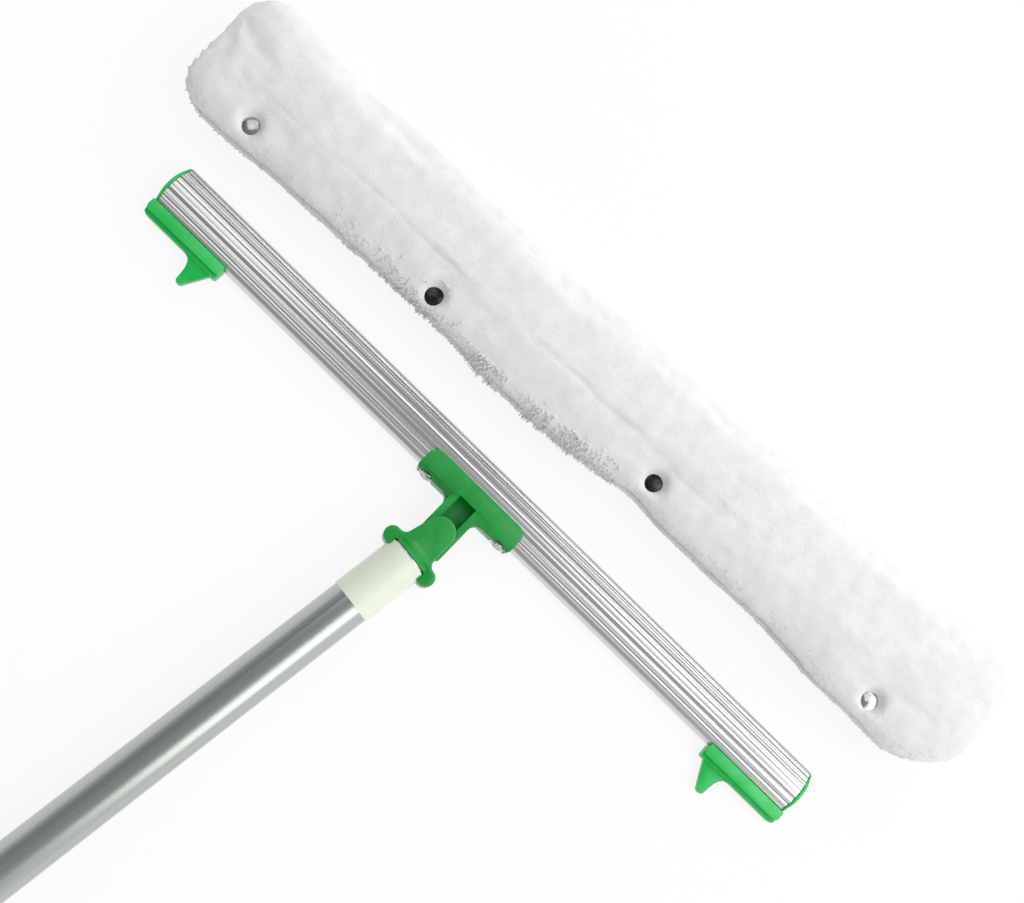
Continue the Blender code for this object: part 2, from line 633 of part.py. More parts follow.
def build_bracket(look, head):
    half = HEAD_LENGTH / 2 + OVERRUN
    bracket = add_object("tbar_bracket", prism("tbar_bracket", head_section(), "X", -half, half), look, head)
    tall = prism("bracket_plan", head_plan(), "Z", -OVERRUN, HEAD_TOP + OVERRUN)
    combine(bracket, guide("bracket_plan", tall, head), "INTERSECT")
    bevel(bracket, HEAD_EDGE_ROUNDING, 2, 50)
    for side in (-1, 1):
        cut_screw_seat(bracket, side, head)
    root_top = HEAD_TOP - HEAD_BACK_DROP - HEAD_EDGE_ROUNDING
    root_plan = stem_plan(filleted_root(STEM_ROOT_FILLET, HEAD_BACK_Y, HEAD_BACK_Y + HEAD_BACK_THICKNESS / 2))
    root = prism("stem_root", root_plan, "Z", STEM_BOTTOM, root_top)
    combine(bracket, guide("stem_root", root, head), "UNION")
    cheek_plan = stem_plan(filleted_root(CHEEK_WING_RADIUS, CHEEK_FLUSH_Y, POCKET_NEAR_Y + EDGE_STEP))
    cheeks = prism("stem_cheeks", cheek_plan, "Z", STEM_TOP - STEM_CHEEK_RISE, STEM_TOP)
    combine(bracket, guide("stem_cheeks", cheeks, head), "UNION")
    inner = STEM_WIDTH / 2 - CHEEK_THICKNESS
    pocket = prism("stem_pocket", pocket_section(), "X", -inner, inner)
    combine(bracket, guide("stem_pocket", pocket, head), "DIFFERENCE")
    boss = upright("pin_boss", PIN_BOSS_RADIUS, STEM_BOTTOM + EDGE_STEP, STEM_TOP - EDGE_STEP, head)
    boss.location = (0, PIN_Y, 0)
    combine(bracket, boss, "UNION")
    hole = upright("pin_hole", PIN_RADIUS + GAP, -OVERRUN, HEAD_TOP + OVERRUN, head)
    hole.location = (0, PIN_Y, 0)
    combine(bracket, hole, "DIFFERENCE")
    return bracket


def build_screw(name, side, look, head):
    """A dome-head screw along +Y, with its head against the seat and a cross recess."""
    profile = [(0, 0)]
    for turn in between(QUARTER, 0, ARC_STEPS)[1:]:
        profile.append((SCREW_HEAD_RADIUS * math.cos(turn), SCREW_HEAD_HEIGHT * (1 - math.sin(turn))))
    tip = SCREW_HEAD_HEIGHT + SCREW_SHANK_LENGTH
    profile += [(SCREW_SHANK_RADIUS, SCREW_HEAD_HEIGHT), (SCREW_SHANK_RADIUS, tip - EDGE_STEP)]
    profile += [(SCREW_SHANK_RADIUS - EDGE_STEP, tip), (0, tip)]
    mesh = turned(name, profile, SMALL_STEPS)
    mesh.transform(Matrix.Rotation(-QUARTER, 4, "X"))
    screw = add_object(name, mesh, look, head)
    screw.location = (side * SCREW_SPACING / 2, SCREW_SEAT_Y - GAP - SCREW_HEAD_HEIGHT, SCREW_HEIGHT)
    for turn in (QUARTER / 2, 3 * QUARTER / 2):
        blade = slab(name + "_recess", SCREW_SLOT_LENGTH, SCREW_SLOT_WIDTH, -OVERRUN, SCREW_SLOT_DEPTH)
        blade.transform(Matrix.Rotation(turn, 4, "Z"))
        blade.transform(Matrix.Rotation(-QUARTER, 4, "X"))
        tool = guide(name + "_recess", blade, head)
        tool.location = screw.location
        combine(screw, tool, "DIFFERENCE")
    return screw


def slab(name, length, width, low, high):
    x = length / 2
    y = width / 2
    outline = [(-x, -y), (x, -y), (x, y), (-x, y)]
    return prism(name, outline, "Z", low, high)


def build_nut_plate(look, head):
    """A strip that fills the handle side of the bar's hollow, with a hole for each screw."""
    side = -(BAR_HALF - BAR_WALL - GAP)
    front = side + NUT_PLATE_WIDTH
    outline = [(side, BAR_WALL + GAP), (front, BAR_WALL + GAP)]
    outline += [(y, cavity_height(y, GAP)) for y in between(front, -(BAR_SHOULDER_HALF_SPACING - GAP), 3)]
    outline.append((side, cavity_height(side, GAP)))
    mesh = prism("nut_plate", outline, "X", -NUT_PLATE_LENGTH / 2, NUT_PLATE_LENGTH / 2)
    plate = add_object("nut_plate", mesh, look, head)
    for end in (-1, 1):
        hole = round_bar("nut_hole", SCREW_SHANK_RADIUS + GAP, BAR_HALF, 0, head)
        hole.location = (end * SCREW_SPACING / 2, 0, SCREW_HEIGHT)
        combine(plate, hole, "DIFFERENCE")
    return plate


def build_pin(look, parent):
    """The swivel pin: a shaft up into the upper tongue, with its head sunk in the lower one."""
    head_low = FORK_BOTTOM + GAP
    head_high = head_low + PIN_HEAD_HEIGHT
    top = FORK_TOP - UPPER_TONGUE_THICKNESS / 2
    profile = [(0, head_low), (PIN_HEAD_RADIUS, head_low), (PIN_HEAD_RADIUS, head_high)]
    profile += [(PIN_RADIUS, head_high), (PIN_RADIUS, top - EDGE_STEP)]
    profile += [(PIN_RADIUS - EDGE_STEP, top), (0, top)]
    return add_object("swivel_pin", turned("swivel_pin", profile, SMALL_STEPS), look, parent)


def fork_plan():
    """Plan of the fork and neck as (x, y), round at the pin, with two ears that reach along the pole."""
    half = TONGUE_WIDTH / 2
    neck = NECK_WIDTH / 2
    ear = EAR_SPAN / 2 - EAR_ROUNDING
    jaw = EAR_JAW_SPACING / 2
    right = [(neck, -NECK_START)]
    right += arc((neck + NECK_FILLET, -NECK_START), NECK_FILLET, 2 * QUARTER, 3 * QUARTER, 4)[1:]
    right += arc((ear, -EAR_TOP_DISTANCE - EAR_ROUNDING), EAR_ROUNDING, QUARTER, 0, 5)
    right += arc((ear, -EAR_END_DISTANCE + EAR_ROUNDING), EAR_ROUNDING, 0, -QUARTER, 5)
    right += [(jaw, -EAR_END_DISTANCE), (jaw, -SHOULDER_DISTANCE + EDGE_STEP)]
    left = [(-x, y) for x, y in reversed(right)]
    nose = arc((0, 0), half, 2 * QUARTER, 0, FINE_ARC_STEPS)
    return nose + right + left


def flare_rings():
    """Rings from inside the fork out to the round shoulder that the pole butts against."""
    rings = []
    start_half = TONGUE_WIDTH / 2 - EDGE_STEP
    low_start = FORK_BOTTOM + EDGE_STEP
    high_start = FORK_TOP - EDGE_STEP
    for share in between(0, 1, 7):
        grow = share ** 2
        y = -(FLARE_START + (SHOULDER_DISTANCE - FLARE_START) * share)
        half_width = start_half + (SHOULDER_RADIUS - start_half) * grow
        low = low_start + (POLE_AXIS_HEIGHT - SHOULDER_RADIUS - low_start) * grow
        high = high_start + (POLE_AXIS_HEIGHT + SHOULDER_RADIUS - high_start) * grow
        power = 2 / (FLARE_START_SQUARENESS + (2 - FLARE_START_SQUARENESS) * ease(share))
        rings.append([(x, y, z) for x, z in rounded_ring(half_width, low, high, power)])
    rings.append([(x, y - OVERRUN, z) for x, y, z in rings[-1]])
    return rings


def rounded_ring(half_width, low, high, power):
    """Points (x, z) of an oval whose corners fill out as the power falls below 1."""
    ring = []
    for i in range(FLARE_STEPS):
        angle = math.tau * i / FLARE_STEPS
        across = math.copysign(abs(math.cos(angle)) ** power, math.cos(angle))
        upward = math.copysign(abs(math.sin(angle)) ** power, math.sin(angle))
        ring.append((half_width * across, (low + high) / 2 + (high - low) / 2 * upward))
    return ring


def slot_plan():
    """Plan of the fork's slot as (x, y), whose throat is an arc round the pin."""
    side = EAR_SPAN
    front = TONGUE_WIDTH
    first = -QUARTER + THROAT_HALF_ANGLE
    last = -QUARTER - THROAT_HALF_ANGLE
    throat = arc((0, 0), THROAT_RADIUS, first, last, FINE_ARC_STEPS)
    return [(side, front), (side, throat[0][1])] + throat + [(-side, throat[-1][1]), (-side, front)]


def build_socket(look, parent):
    body = prism("pole_socket", fork_plan(), "Z", FORK_BOTTOM, FORK_TOP)
    socket = add_object("pole_socket", body, look, parent)
    bevel(socket, TONGUE_ROUNDING, 3, 60)
    combine(socket, guide("socket_flare", loft("socket_flare", flare_rings()), parent), "UNION")
    slot = prism("socket_slot", slot_plan(), "Z", STEM_BOTTOM - GAP, UPPER_TONGUE_BOTTOM)
    combine(socket, guide("socket_slot", slot, parent), "DIFFERENCE")
    combine(socket, guide("pin_bore", pin_bore_mesh(), parent), "DIFFERENCE")
    seat_profile = [(0, SHOULDER_DISTANCE), (POLE_SEAT_RADIUS, SHOULDER_DISTANCE),
                    (POLE_SEAT_RADIUS, EAR_END_DISTANCE + OVERRUN), (0, EAR_END_DISTANCE + OVERRUN)]
    seat = along_pole(turned("pole_seat", seat_profile))
    combine(socket, guide("pole_seat", seat, parent), "DIFFERENCE")
    combine(socket, guide("socket_spigot", spigot_mesh(), parent), "UNION")
    far = SHOULDER_DISTANCE + SPIGOT_LENGTH + OVERRUN
    near = SHOULDER_DISTANCE + SPIGOT_FLUTE_START
    for i in range(SPIGOT_FLUTES):
        angle = math.tau * (i + 0.5) / SPIGOT_FLUTES
        rise = SPIGOT_RADIUS * math.sin(angle)
        flute = round_bar("spigot_flute", SPIGOT_FLUTE_RADIUS, far, near, parent)
        flute.location = (SPIGOT_RADIUS * math.cos(angle), 0, POLE_AXIS_HEIGHT + rise)
        combine(socket, flute, "DIFFERENCE")
    return socket


def spigot_mesh():
    """The tapered spigot inside the pole, chamfered at its tip."""
    start = SHOULDER_DISTANCE - EDGE_STEP
    end = SHOULDER_DISTANCE + SPIGOT_LENGTH
    tip = SPIGOT_RADIUS - SPIGOT_TAPER
    profile = [(0, start), (SPIGOT_RADIUS, start), (tip, end - SPIGOT_CHAMFER)]
    profile += [(tip - SPIGOT_CHAMFER, end), (0, end)]
    return along_pole(turned("socket_spigot", profile))


def pin_bore_mesh():
    """The bore for the pin: a wide mouth below for its head, blind in the upper tongue."""
    mouth = PIN_HEAD_RADIUS + GAP
    seat = FORK_BOTTOM + PIN_HEAD_HEIGHT + 2 * GAP
    bore = PIN_RADIUS + GAP
    top = FORK_TOP - UPPER_TONGUE_THICKNESS / 2 + GAP
    profile = [(0, -OVERRUN), (mouth, -OVERRUN), (mouth, seat), (bore, seat), (bore, top), (0, top)]
    return turned("pin_bore", profile, SMALL_STEPS)


def along_pole(mesh):
    """Turns a shape modelled along +Z to lie along the pole, towards -Y."""
    mesh.transform(Matrix.Rotation(QUARTER, 4, "X"))
    mesh.transform(Matrix.Translation((0, 0, POLE_AXIS_HEIGHT)))
    return mesh


def tube(name, inner, outer, low, high):
    return along_pole(ring_turned(name, [(inner, low), (outer, low), (outer, high), (inner, high)]))


def build_pole(look, parent):
    mesh = tube("pole_tube", POLE_BORE, POLE_RADIUS, POLE_START, POLE_END)
    return add_object("pole_tube", mesh, look, parent)


def build_label(look, parent):
    start = POLE_START + LABEL_START
    outer = LABEL_INNER_RADIUS + LABEL_THICKNESS
    mesh = tube("label_band", LABEL_INNER_RADIUS, outer, start, start + LABEL_LENGTH)
    return add_object("label_band", mesh, look, parent)


def build_far_cap(look, parent):
    """The cap on the pole's far end: a skirt over the tube, a floor and a tab with a hanging hole."""
    inner = POLE_RADIUS + GAP
    outer = POLE_AXIS_HEIGHT
    start = POLE_END - FAR_CAP_SKIRT
    seat = POLE_END + GAP
    end = seat + FAR_CAP_FLOOR
    profile = [(0, seat), (inner, seat), (inner, start)]
    profile += [(outer - EDGE_STEP, start), (outer, start + EDGE_STEP)]
    profile += arc((outer - FAR_CAP_ROUNDING, end - FAR_CAP_ROUNDING), FAR_CAP_ROUNDING, 0, QUARTER, 4)
    profile += [(0, end)]
    cap = add_object("pole_end_cap", along_pole(turned("pole_end_cap", profile)), look, parent)
    half = HANG_TAB_WIDTH / 2
    tab_end = end + HANG_TAB_LENGTH
    root = -end + EDGE_STEP
    plan = [(half, root)] + arc((0, -tab_end + half), half, 0, -2 * QUARTER, FINE_ARC_STEPS) + [(-half, root)]
    low = POLE_AXIS_HEIGHT - HANG_TAB_THICKNESS / 2
    high = POLE_AXIS_HEIGHT + HANG_TAB_THICKNESS / 2
    tab = guide("hang_tab", prism("hang_tab", plan, "Z", low, high), parent)
    bevel(tab, HANG_TAB_ROUNDING, 2, 60)
    combine(cap, tab, "UNION")
    hole = upright("hang_hole", HANG_HOLE_RADIUS, -OVERRUN, 2 * POLE_AXIS_HEIGHT, parent)
    hole.location = (0, -tab_end + half, 0)
    combine(cap, hole, "DIFFERENCE")
    return cap


def share_at(place, values, stations=STATION_SHARES):
    """A smooth value between the two stations that a place lies between."""
    for i in range(len(stations) - 1):
        first, last = stations[i], stations[i + 1]
        if place <= last:
            step = ease((place - first) / (last - first))
            return values[i] + (values[i + 1] - values[i]) * step
    return values[-1]


def end_factor(place, rounding):
    """How far the sleeve draws in at a rounded end, 1 away from it."""
    from_end = (0.5 - abs(place)) * SLEEVE_LENGTH
    if from_end >= rounding:
        return 1.0
    missing = (1 - from_end / rounding) * END_ROUNDNESS_SHARE
    return math.sqrt(max(0.0, 1 - missing ** 2))


def far_width(place):
    """Half-width of the sleeve on its folded side, with its own rounding at each end."""
    rounding = LEFT_FAR_ROUNDING if place < 0 else RIGHT_FAR_ROUNDING
    end_share = LEFT_FAR_END_SHARE if place < 0 else RIGHT_FAR_END_SHARE
    factor = end_share + (1 - end_share) * end_factor(place, rounding)
    return SLEEVE_HALF * factor * share_at(place, FAR_EDGE_SHARES)


def near_width(place):
    """Half-width of the sleeve on its open side, with its own rounding at each end."""
    rounding = LEFT_NEAR_ROUNDING if place < 0 else RIGHT_NEAR_ROUNDING
    end_share = LEFT_NEAR_END_SHARE if place < 0 else RIGHT_NEAR_END_SHARE
    factor = end_share + (1 - end_share) * end_factor(place, rounding)
    return SLEEVE_HALF * factor * share_at(place, NEAR_EDGE_SHARES)


def lobe_shift(place, across):
    """How far a point moves in from the left end, where a notch parts a wide lobe from a small one."""
    from_end = (0.5 + place) * SLEEVE_LENGTH
    nearness = max(0.0, 1 - from_end / SLEEVE_LOBE_REACH)
    return SLEEVE_LOBE_DEPTH * nearness ** 2 * share_at(across, LOBE_SHARES, ACROSS_SHARES)


def sleeve_places():
    """Stations along the sleeve, closer together near both ends."""
    places = []
    for i in range(SLEEVE_STATIONS + 1):
        steady = i / SLEEVE_STATIONS - 0.5
        crowded = -math.cos(math.pi * i / SLEEVE_STATIONS) / 2
        places.append(steady + (crowded - steady) * CROWDING_SHARE)
    return places


def layer_rings(upper):
    """Rings of one layer: flat towards the pocket, swelling away from it."""
    rings = []
    power = 2 / SECTION_SQUARENESS
    for place in sleeve_places():
        far = far_width(place)
        near = near_width(place)
        crown = LAYER_HEIGHT - SLEEVE_END_DROP * (1 - end_factor(place, SLEEVE_CROWN_ROUNDING))
        if upper:
            crown = crown * share_at(place, CROWN_SHARES)
        ring = []
        for i in range(SLEEVE_RING_POINTS + 1):
            angle = math.pi * i / SLEEVE_RING_POINTS
            across = math.copysign(abs(math.cos(angle)) ** power, math.cos(angle))
            swell = abs(math.sin(angle)) ** power
            reach = far if across > 0 else near
            if upper:
                height = UPPER_LAYER_BOTTOM + crown * swell
            else:
                height = max(0.0, LAYER_HEIGHT - (crown + SLEEVE_FLAT) * swell)
            x = place * SLEEVE_LENGTH + lobe_shift(place, across)
            ring.append((x, reach * across, height))
        rings.append(ring)
    return rings


def fold_rings():
    """Rings of the fold along the far edge, which closes the pocket there."""
    rings = []
    for place in sleeve_places():
        rounding = LEFT_FAR_ROUNDING if place < 0 else RIGHT_FAR_ROUNDING
        if end_factor(place, rounding) < 1.0:
            continue
        outer = far_width(place) - FOLD_STRIP_INSET
        low = LAYER_HEIGHT + GAP
        high = UPPER_LAYER_BOTTOM - GAP
        middle = (low + high) / 2
        x = place * SLEEVE_LENGTH
        ring = [(x, outer - FOLD_STRIP_WIDTH, low), (x, outer - FOLD_STRIP_INSET, low), (x, outer, middle),
                (x, outer - FOLD_STRIP_INSET, high), (x, outer - FOLD_STRIP_WIDTH, high)]
        rings.append(ring)
    return rings


def snap_places():
    """Middles of the four snaps, sewn on by hand a little off one line."""
    shares = zip(SNAP_PLACE_SHARES, SNAP_ACROSS_SHARES)
    return [(place * SLEEVE_LENGTH, across * SLEEVE_HALF) for place, across in shares]


def dimple_mesh(name, floor, mouth, hole_end):
    """A dimple in the pile, narrowing to the snap's cap, with the post's hole beyond it."""
    fit = SNAP_CAP_RADIUS + GAP
    hole = SNAP_POST_RADIUS + GAP
    profile = [(0, hole_end), (hole, hole_end), (hole, floor), (fit, floor)]
    profile += [(SNAP_DIMPLE_RADIUS, mouth), (0, mouth)]
    return turned(name, profile, SMALL_STEPS)


def build_layer(name, upper, look, parent, base):
    mesh = loft(name, layer_rings(upper))
    layer = add_object(name, mesh, look, parent)
    for x, y in snap_places():
        if upper:
            floor = UPPER_LAYER_BOTTOM + LAYER_HEIGHT - SNAP_CAP_DEPTH_IN_PILE
            tool = dimple_mesh(name + "_dimple", floor, SLEEVE_HEIGHT + OVERRUN, UPPER_LAYER_BOTTOM - OVERRUN)
        else:
            floor = SNAP_CAP_DEPTH_IN_PILE
            tool = dimple_mesh(name + "_dimple", floor, -OVERRUN, LAYER_HEIGHT + OVERRUN)
        tool = guide(name + "_dimple", tool, parent)
        tool.location = (x - base[0], y - base[1], -base[2])
        combine(layer, tool, "DIFFERENCE")
    mesh.transform(Matrix.Translation((-base[0], -base[1], -base[2])))
    return layer


def cap_profile(seat, post_end, direction):
    """A domed cap with a post, from its seat: direction is 1 where the dome faces up."""
    profile = [(0, post_end), (SNAP_POST_RADIUS, post_end), (SNAP_POST_RADIUS, seat), (SNAP_CAP_RADIUS, seat)]
    for turn in between(0, QUARTER, 4)[1:-1]:
        rise = SNAP_CAP_RIM_SHARE + (1 - SNAP_CAP_RIM_SHARE) * math.sin(turn)
        profile.append((SNAP_CAP_RADIUS * math.cos(turn), seat + direction * SNAP_CAP_HEIGHT * rise))
    profile.append((0, seat + direction * SNAP_CAP_HEIGHT))
    return profile


def build_snaps(look, parent, hinge, base):
    """Four snaps: cap and socket on the upper layer, stud and rivet on the lower one."""
    layer_top = UPPER_LAYER_BOTTOM
    cap_seat = layer_top + LAYER_HEIGHT - SNAP_CAP_DEPTH_IN_PILE + GAP
    rivet_seat = SNAP_CAP_DEPTH_IN_PILE - GAP
    socket_top = layer_top - GAP
    socket_low = socket_top - SNAP_SOCKET_HEIGHT
    stud_low = LAYER_HEIGHT + GAP
    stud_high = stud_low + SNAP_STUD_BASE_HEIGHT
    bore_end = socket_low + SNAP_SOCKET_BORE_DEPTH
    head_top = bore_end - GAP
    face = SNAP_SOCKET_RADIUS - SNAP_SOCKET_ROUNDING
    socket = [(0, socket_top), (SNAP_SOCKET_RADIUS, socket_top)]
    socket += [(SNAP_SOCKET_RADIUS, socket_low + SNAP_SOCKET_ROUNDING), (face, socket_low)]
    socket += [(SNAP_SOCKET_BORE, socket_low), (SNAP_SOCKET_BORE, bore_end), (0, bore_end)]
    stud = [(0, stud_low), (SNAP_SOCKET_RADIUS, stud_low)]
    stud += [(SNAP_SOCKET_RADIUS, stud_high - SNAP_SOCKET_ROUNDING), (face, stud_high)]
    stud += [(SNAP_STUD_NECK_RADIUS, stud_high)]
    stud += [(SNAP_STUD_HEAD_RADIUS, head_top - SNAP_STUD_HEAD_HEIGHT / 2)]
    stud += [(SNAP_STUD_NECK_RADIUS, head_top), (0, head_top)]
    shapes = {
        "snap_cap": (cap_profile(cap_seat, layer_top, 1), hinge),
        "snap_socket": (socket, hinge),
        "snap_stud": (stud, parent),
        "snap_rivet": (cap_profile(rivet_seat, LAYER_HEIGHT, -1), parent),
    }
    for kind, (profile, carrier) in shapes.items():
        for number, (x, y) in enumerate(snap_places(), 1):
            mesh = turned(f"{kind}_{number}", profile, SNAP_STEPS)
            snap = add_object(f"{kind}_{number}", mesh, look, carrier)
            snap.location = (x, y, 0)
            if carrier is hinge:
                snap.location = (x - base[0], y - base[1], -base[2])


def main():
    clear_scene()
    aluminium = material("aluminium", (0.74, 0.74, 0.75), 0.30, 1.0)
    pole_metal = material("pole_metal", (0.58, 0.62, 0.60), 0.38, 1.0)
    steel = material("screw_steel", (0.62, 0.63, 0.62), 0.28, 1.0)
    green = material("green_plastic", (0.03, 0.32, 0.08), 0.32)
    cream = material("label_cream", (0.76, 0.82, 0.68), 0.45)
    fleece = material("fleece", (0.86, 0.86, 0.85), 0.95)
    snap_metal = material("snap_metal", (0.30, 0.30, 0.30), 0.30, 1.0)

    build_bar(aluminium)
    build_end_cap("end_cap_left", -1, green)
    build_end_cap("end_cap_right", 1, green)

    head = empty("head_frame", (HEAD_CENTRE_X, 0, 0))
    build_bracket(green, head)
    build_screw("bracket_screw_left", -1, steel, head)
    build_screw("bracket_screw_right", 1, steel, head)
    build_nut_plate(steel, head)

    swivel = empty("swivel_axis", (0, PIN_Y, 0), -SWIVEL_ANGLE, head)
    build_pin(steel, swivel)
    build_socket(green, swivel)
    build_pole(pole_metal, swivel)
    build_label(cream, swivel)
    build_far_cap(green, swivel)

    sleeve = empty("sleeve_frame", (SLEEVE_CENTRE_X, SLEEVE_CENTRE_Y, 0), SLEEVE_TURN)
    base = Vector((0, FOLD_AXIS_OFFSET, UPPER_LAYER_BOTTOM))
    hinge = empty("fold_axis", base, parent=sleeve)
    build_layer("sleeve_lower_layer", False, fleece, sleeve, Vector((0, 0, 0)))
    build_layer("sleeve_upper_layer", True, fleece, hinge, base)
    add_object("sleeve_fold", loft("sleeve_fold", fold_rings()), fleece, sleeve)
    build_snaps(snap_metal, sleeve, hinge, base)
    bpy.context.view_layer.update()


main()
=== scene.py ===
# %% [markdown]
# # A floor wax applicator
# The tool is a T-bar head on a long pole, with its fleece sleeve lying beside it.
# The hard pieces come from a fixed model, at their real size. This lesson gives them
# their finish, makes the fleece, and sets up the light and the camera.

# %% Load the fixed frame
import json
import math
import random

import bmesh
import bpy
from mathutils import Matrix, Vector, noise


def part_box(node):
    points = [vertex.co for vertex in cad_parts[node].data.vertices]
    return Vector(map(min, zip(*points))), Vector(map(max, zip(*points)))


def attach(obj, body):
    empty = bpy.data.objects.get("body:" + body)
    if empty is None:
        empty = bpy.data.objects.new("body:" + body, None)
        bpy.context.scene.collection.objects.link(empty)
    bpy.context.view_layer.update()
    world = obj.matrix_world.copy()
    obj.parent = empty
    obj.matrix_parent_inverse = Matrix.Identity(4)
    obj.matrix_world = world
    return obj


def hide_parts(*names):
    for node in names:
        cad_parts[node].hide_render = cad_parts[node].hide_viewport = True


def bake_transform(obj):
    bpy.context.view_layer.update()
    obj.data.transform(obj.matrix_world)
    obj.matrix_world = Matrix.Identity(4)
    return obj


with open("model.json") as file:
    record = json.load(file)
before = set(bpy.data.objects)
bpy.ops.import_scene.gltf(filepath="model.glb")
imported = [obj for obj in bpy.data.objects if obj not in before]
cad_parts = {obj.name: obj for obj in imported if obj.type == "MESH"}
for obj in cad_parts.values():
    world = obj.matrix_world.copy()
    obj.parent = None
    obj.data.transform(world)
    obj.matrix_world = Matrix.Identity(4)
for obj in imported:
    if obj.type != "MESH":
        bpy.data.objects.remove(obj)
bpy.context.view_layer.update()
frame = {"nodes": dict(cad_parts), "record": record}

body_of_node = {}
for body, members in frame["record"]["behaviour"]["bodies"].items():
    for member in members:
        body_of_node[member] = body
print("pieces in the frame:", len(body_of_node))

# %% [markdown]
# ## Camera
# The tool was pictured from above, running from the upper left to the lower right. A camera
# could be dragged into place by hand, but typed numbers give the same view each time, and
# they can be fitted to points on the bar, the head and the pole. This one stands half a
# metre up, looks almost straight down, and is rolled by 44 degrees.

# %% Camera
CAMERA_PLACE = (-0.0043, -0.0885, 0.5236)
CAMERA_TILT = math.radians(12.0)
CAMERA_LEAN = math.radians(-0.11)
CAMERA_ROLL = math.radians(44.35)
CAMERA_LENS = 40.0
CAMERA_NEAREST = 0.01
SENSOR_WIDTH = 36.0

camera_data = bpy.data.cameras.new("camera")
camera_data.lens = CAMERA_LENS
camera_data.sensor_width = SENSOR_WIDTH
camera_data.clip_start = CAMERA_NEAREST
camera = bpy.data.objects.new("camera", camera_data)
bpy.context.collection.objects.link(camera)
tilt = Matrix.Rotation(CAMERA_TILT, 4, "X")
lean = Matrix.Rotation(CAMERA_LEAN, 4, "Y")
roll = Matrix.Rotation(CAMERA_ROLL, 4, "Z")
camera.matrix_world = Matrix.Translation(CAMERA_PLACE) @ tilt @ lean @ roll
bpy.context.scene.camera = camera
bpy.context.scene.view_settings.view_transform = "Standard"
print("camera lens:", CAMERA_LENS, "mm")

# %% [markdown]
# ## Helpers for node trees
# Every finish below is a node tree. Typing each node takes three lines, so one helper makes
# a node, fills in its sockets and returns it. A value that is itself a socket is linked.
# A Mix node holds one set of sockets for numbers and one for colours, so these are given
# names by their place in its lists.

# %% Node helper
MIX_FACTOR = 0
NUMBER_A, NUMBER_B = 2, 3
COLOUR_A, COLOUR_B, COLOUR_MIXED = 6, 7, 2


def make_node(tree, kind, settings=None, **sockets):
    """Adds a node, sets its properties, and fills or links its inputs by name."""
    node = tree.nodes.new(kind)
    for name, value in (settings or {}).items():
        setattr(node, name, value)
    for name, value in sockets.items():
        socket = node.inputs[name.replace("_", " ")]
        if isinstance(value, bpy.types.NodeSocket):
            tree.links.new(value, socket)
        else:
            socket.default_value = value
    return node


def opaque(red, green, blue):
    return (red, green, blue, 1.0)


print("helpers:", make_node.__name__, opaque.__name__)

# %% [markdown]
# ## Floor
# The tool lies on a white table top. More light would turn any floor white, but would bleach
# the fleece too. The floor is lit like everything else instead, so that it keeps a soft
# shadow, and part of it glows for the camera and in reflections only.

# %% White floor
FLOOR_SIZE = 9.0
FLOOR_DROP = 0.0004
FLOOR_GLOW_SHARE = 0.86
FLOOR_WHITE = 0.96

floor_shape = bmesh.new()
bmesh.ops.create_grid(floor_shape, x_segments=1, y_segments=1, size=FLOOR_SIZE / 2)
floor_mesh = bpy.data.meshes.new("floor")
floor_shape.to_mesh(floor_mesh)
floor_shape.free()
floor = bpy.data.objects.new("floor", floor_mesh)
floor.location = (0, 0, -FLOOR_DROP)
bpy.context.collection.objects.link(floor)

floor_look = bpy.data.materials.new("floor_white")
floor_look.use_nodes = True
tree = floor_look.node_tree
tree.nodes.clear()
path = make_node(tree, "ShaderNodeLightPath")
seen = path.outputs["Is Camera Ray"]
for ray in ("Is Glossy Ray", "Is Transmission Ray"):
    either = make_node(tree, "ShaderNodeMath", {"operation": "MAXIMUM"})
    tree.links.new(seen, either.inputs[0])
    tree.links.new(path.outputs[ray], either.inputs[1])
    seen = either.outputs[0]
share = make_node(tree, "ShaderNodeMath", {"operation": "MULTIPLY"})
tree.links.new(seen, share.inputs[0])
share.inputs[1].default_value = FLOOR_GLOW_SHARE
matt = make_node(tree, "ShaderNodeBsdfDiffuse", Color=opaque(FLOOR_WHITE, FLOOR_WHITE, FLOOR_WHITE))
glow = make_node(tree, "ShaderNodeEmission", Color=opaque(1, 1, 1), Strength=1.0)
mixed = make_node(tree, "ShaderNodeMixShader", Fac=share.outputs[0])
tree.links.new(matt.outputs[0], mixed.inputs[1])
tree.links.new(glow.outputs[0], mixed.inputs[2])
make_node(tree, "ShaderNodeOutputMaterial", Surface=mixed.outputs[0])
floor_mesh.materials.append(floor_look)
print("floor:", FLOOR_SIZE, "m wide")

# %% [markdown]
# ## Sky
# A picture of a sky would light the tool well, but it would be a second file. A plain grey
# sky makes metal dull. This one is nearly white at the horizon, so that the flanks of the
# pole and the bar have something bright to mirror, and dimmer overhead, more so on the left.

# %% World, white at the horizon and softer overhead
HORIZON_LIGHT = 0.95
OVERHEAD_LEFT = 0.24
OVERHEAD_RIGHT = 0.46
SKY_LEFT, SKY_RIGHT = -0.8, 0.3
CLIMB_START, CLIMB_END = 0.02, 0.70

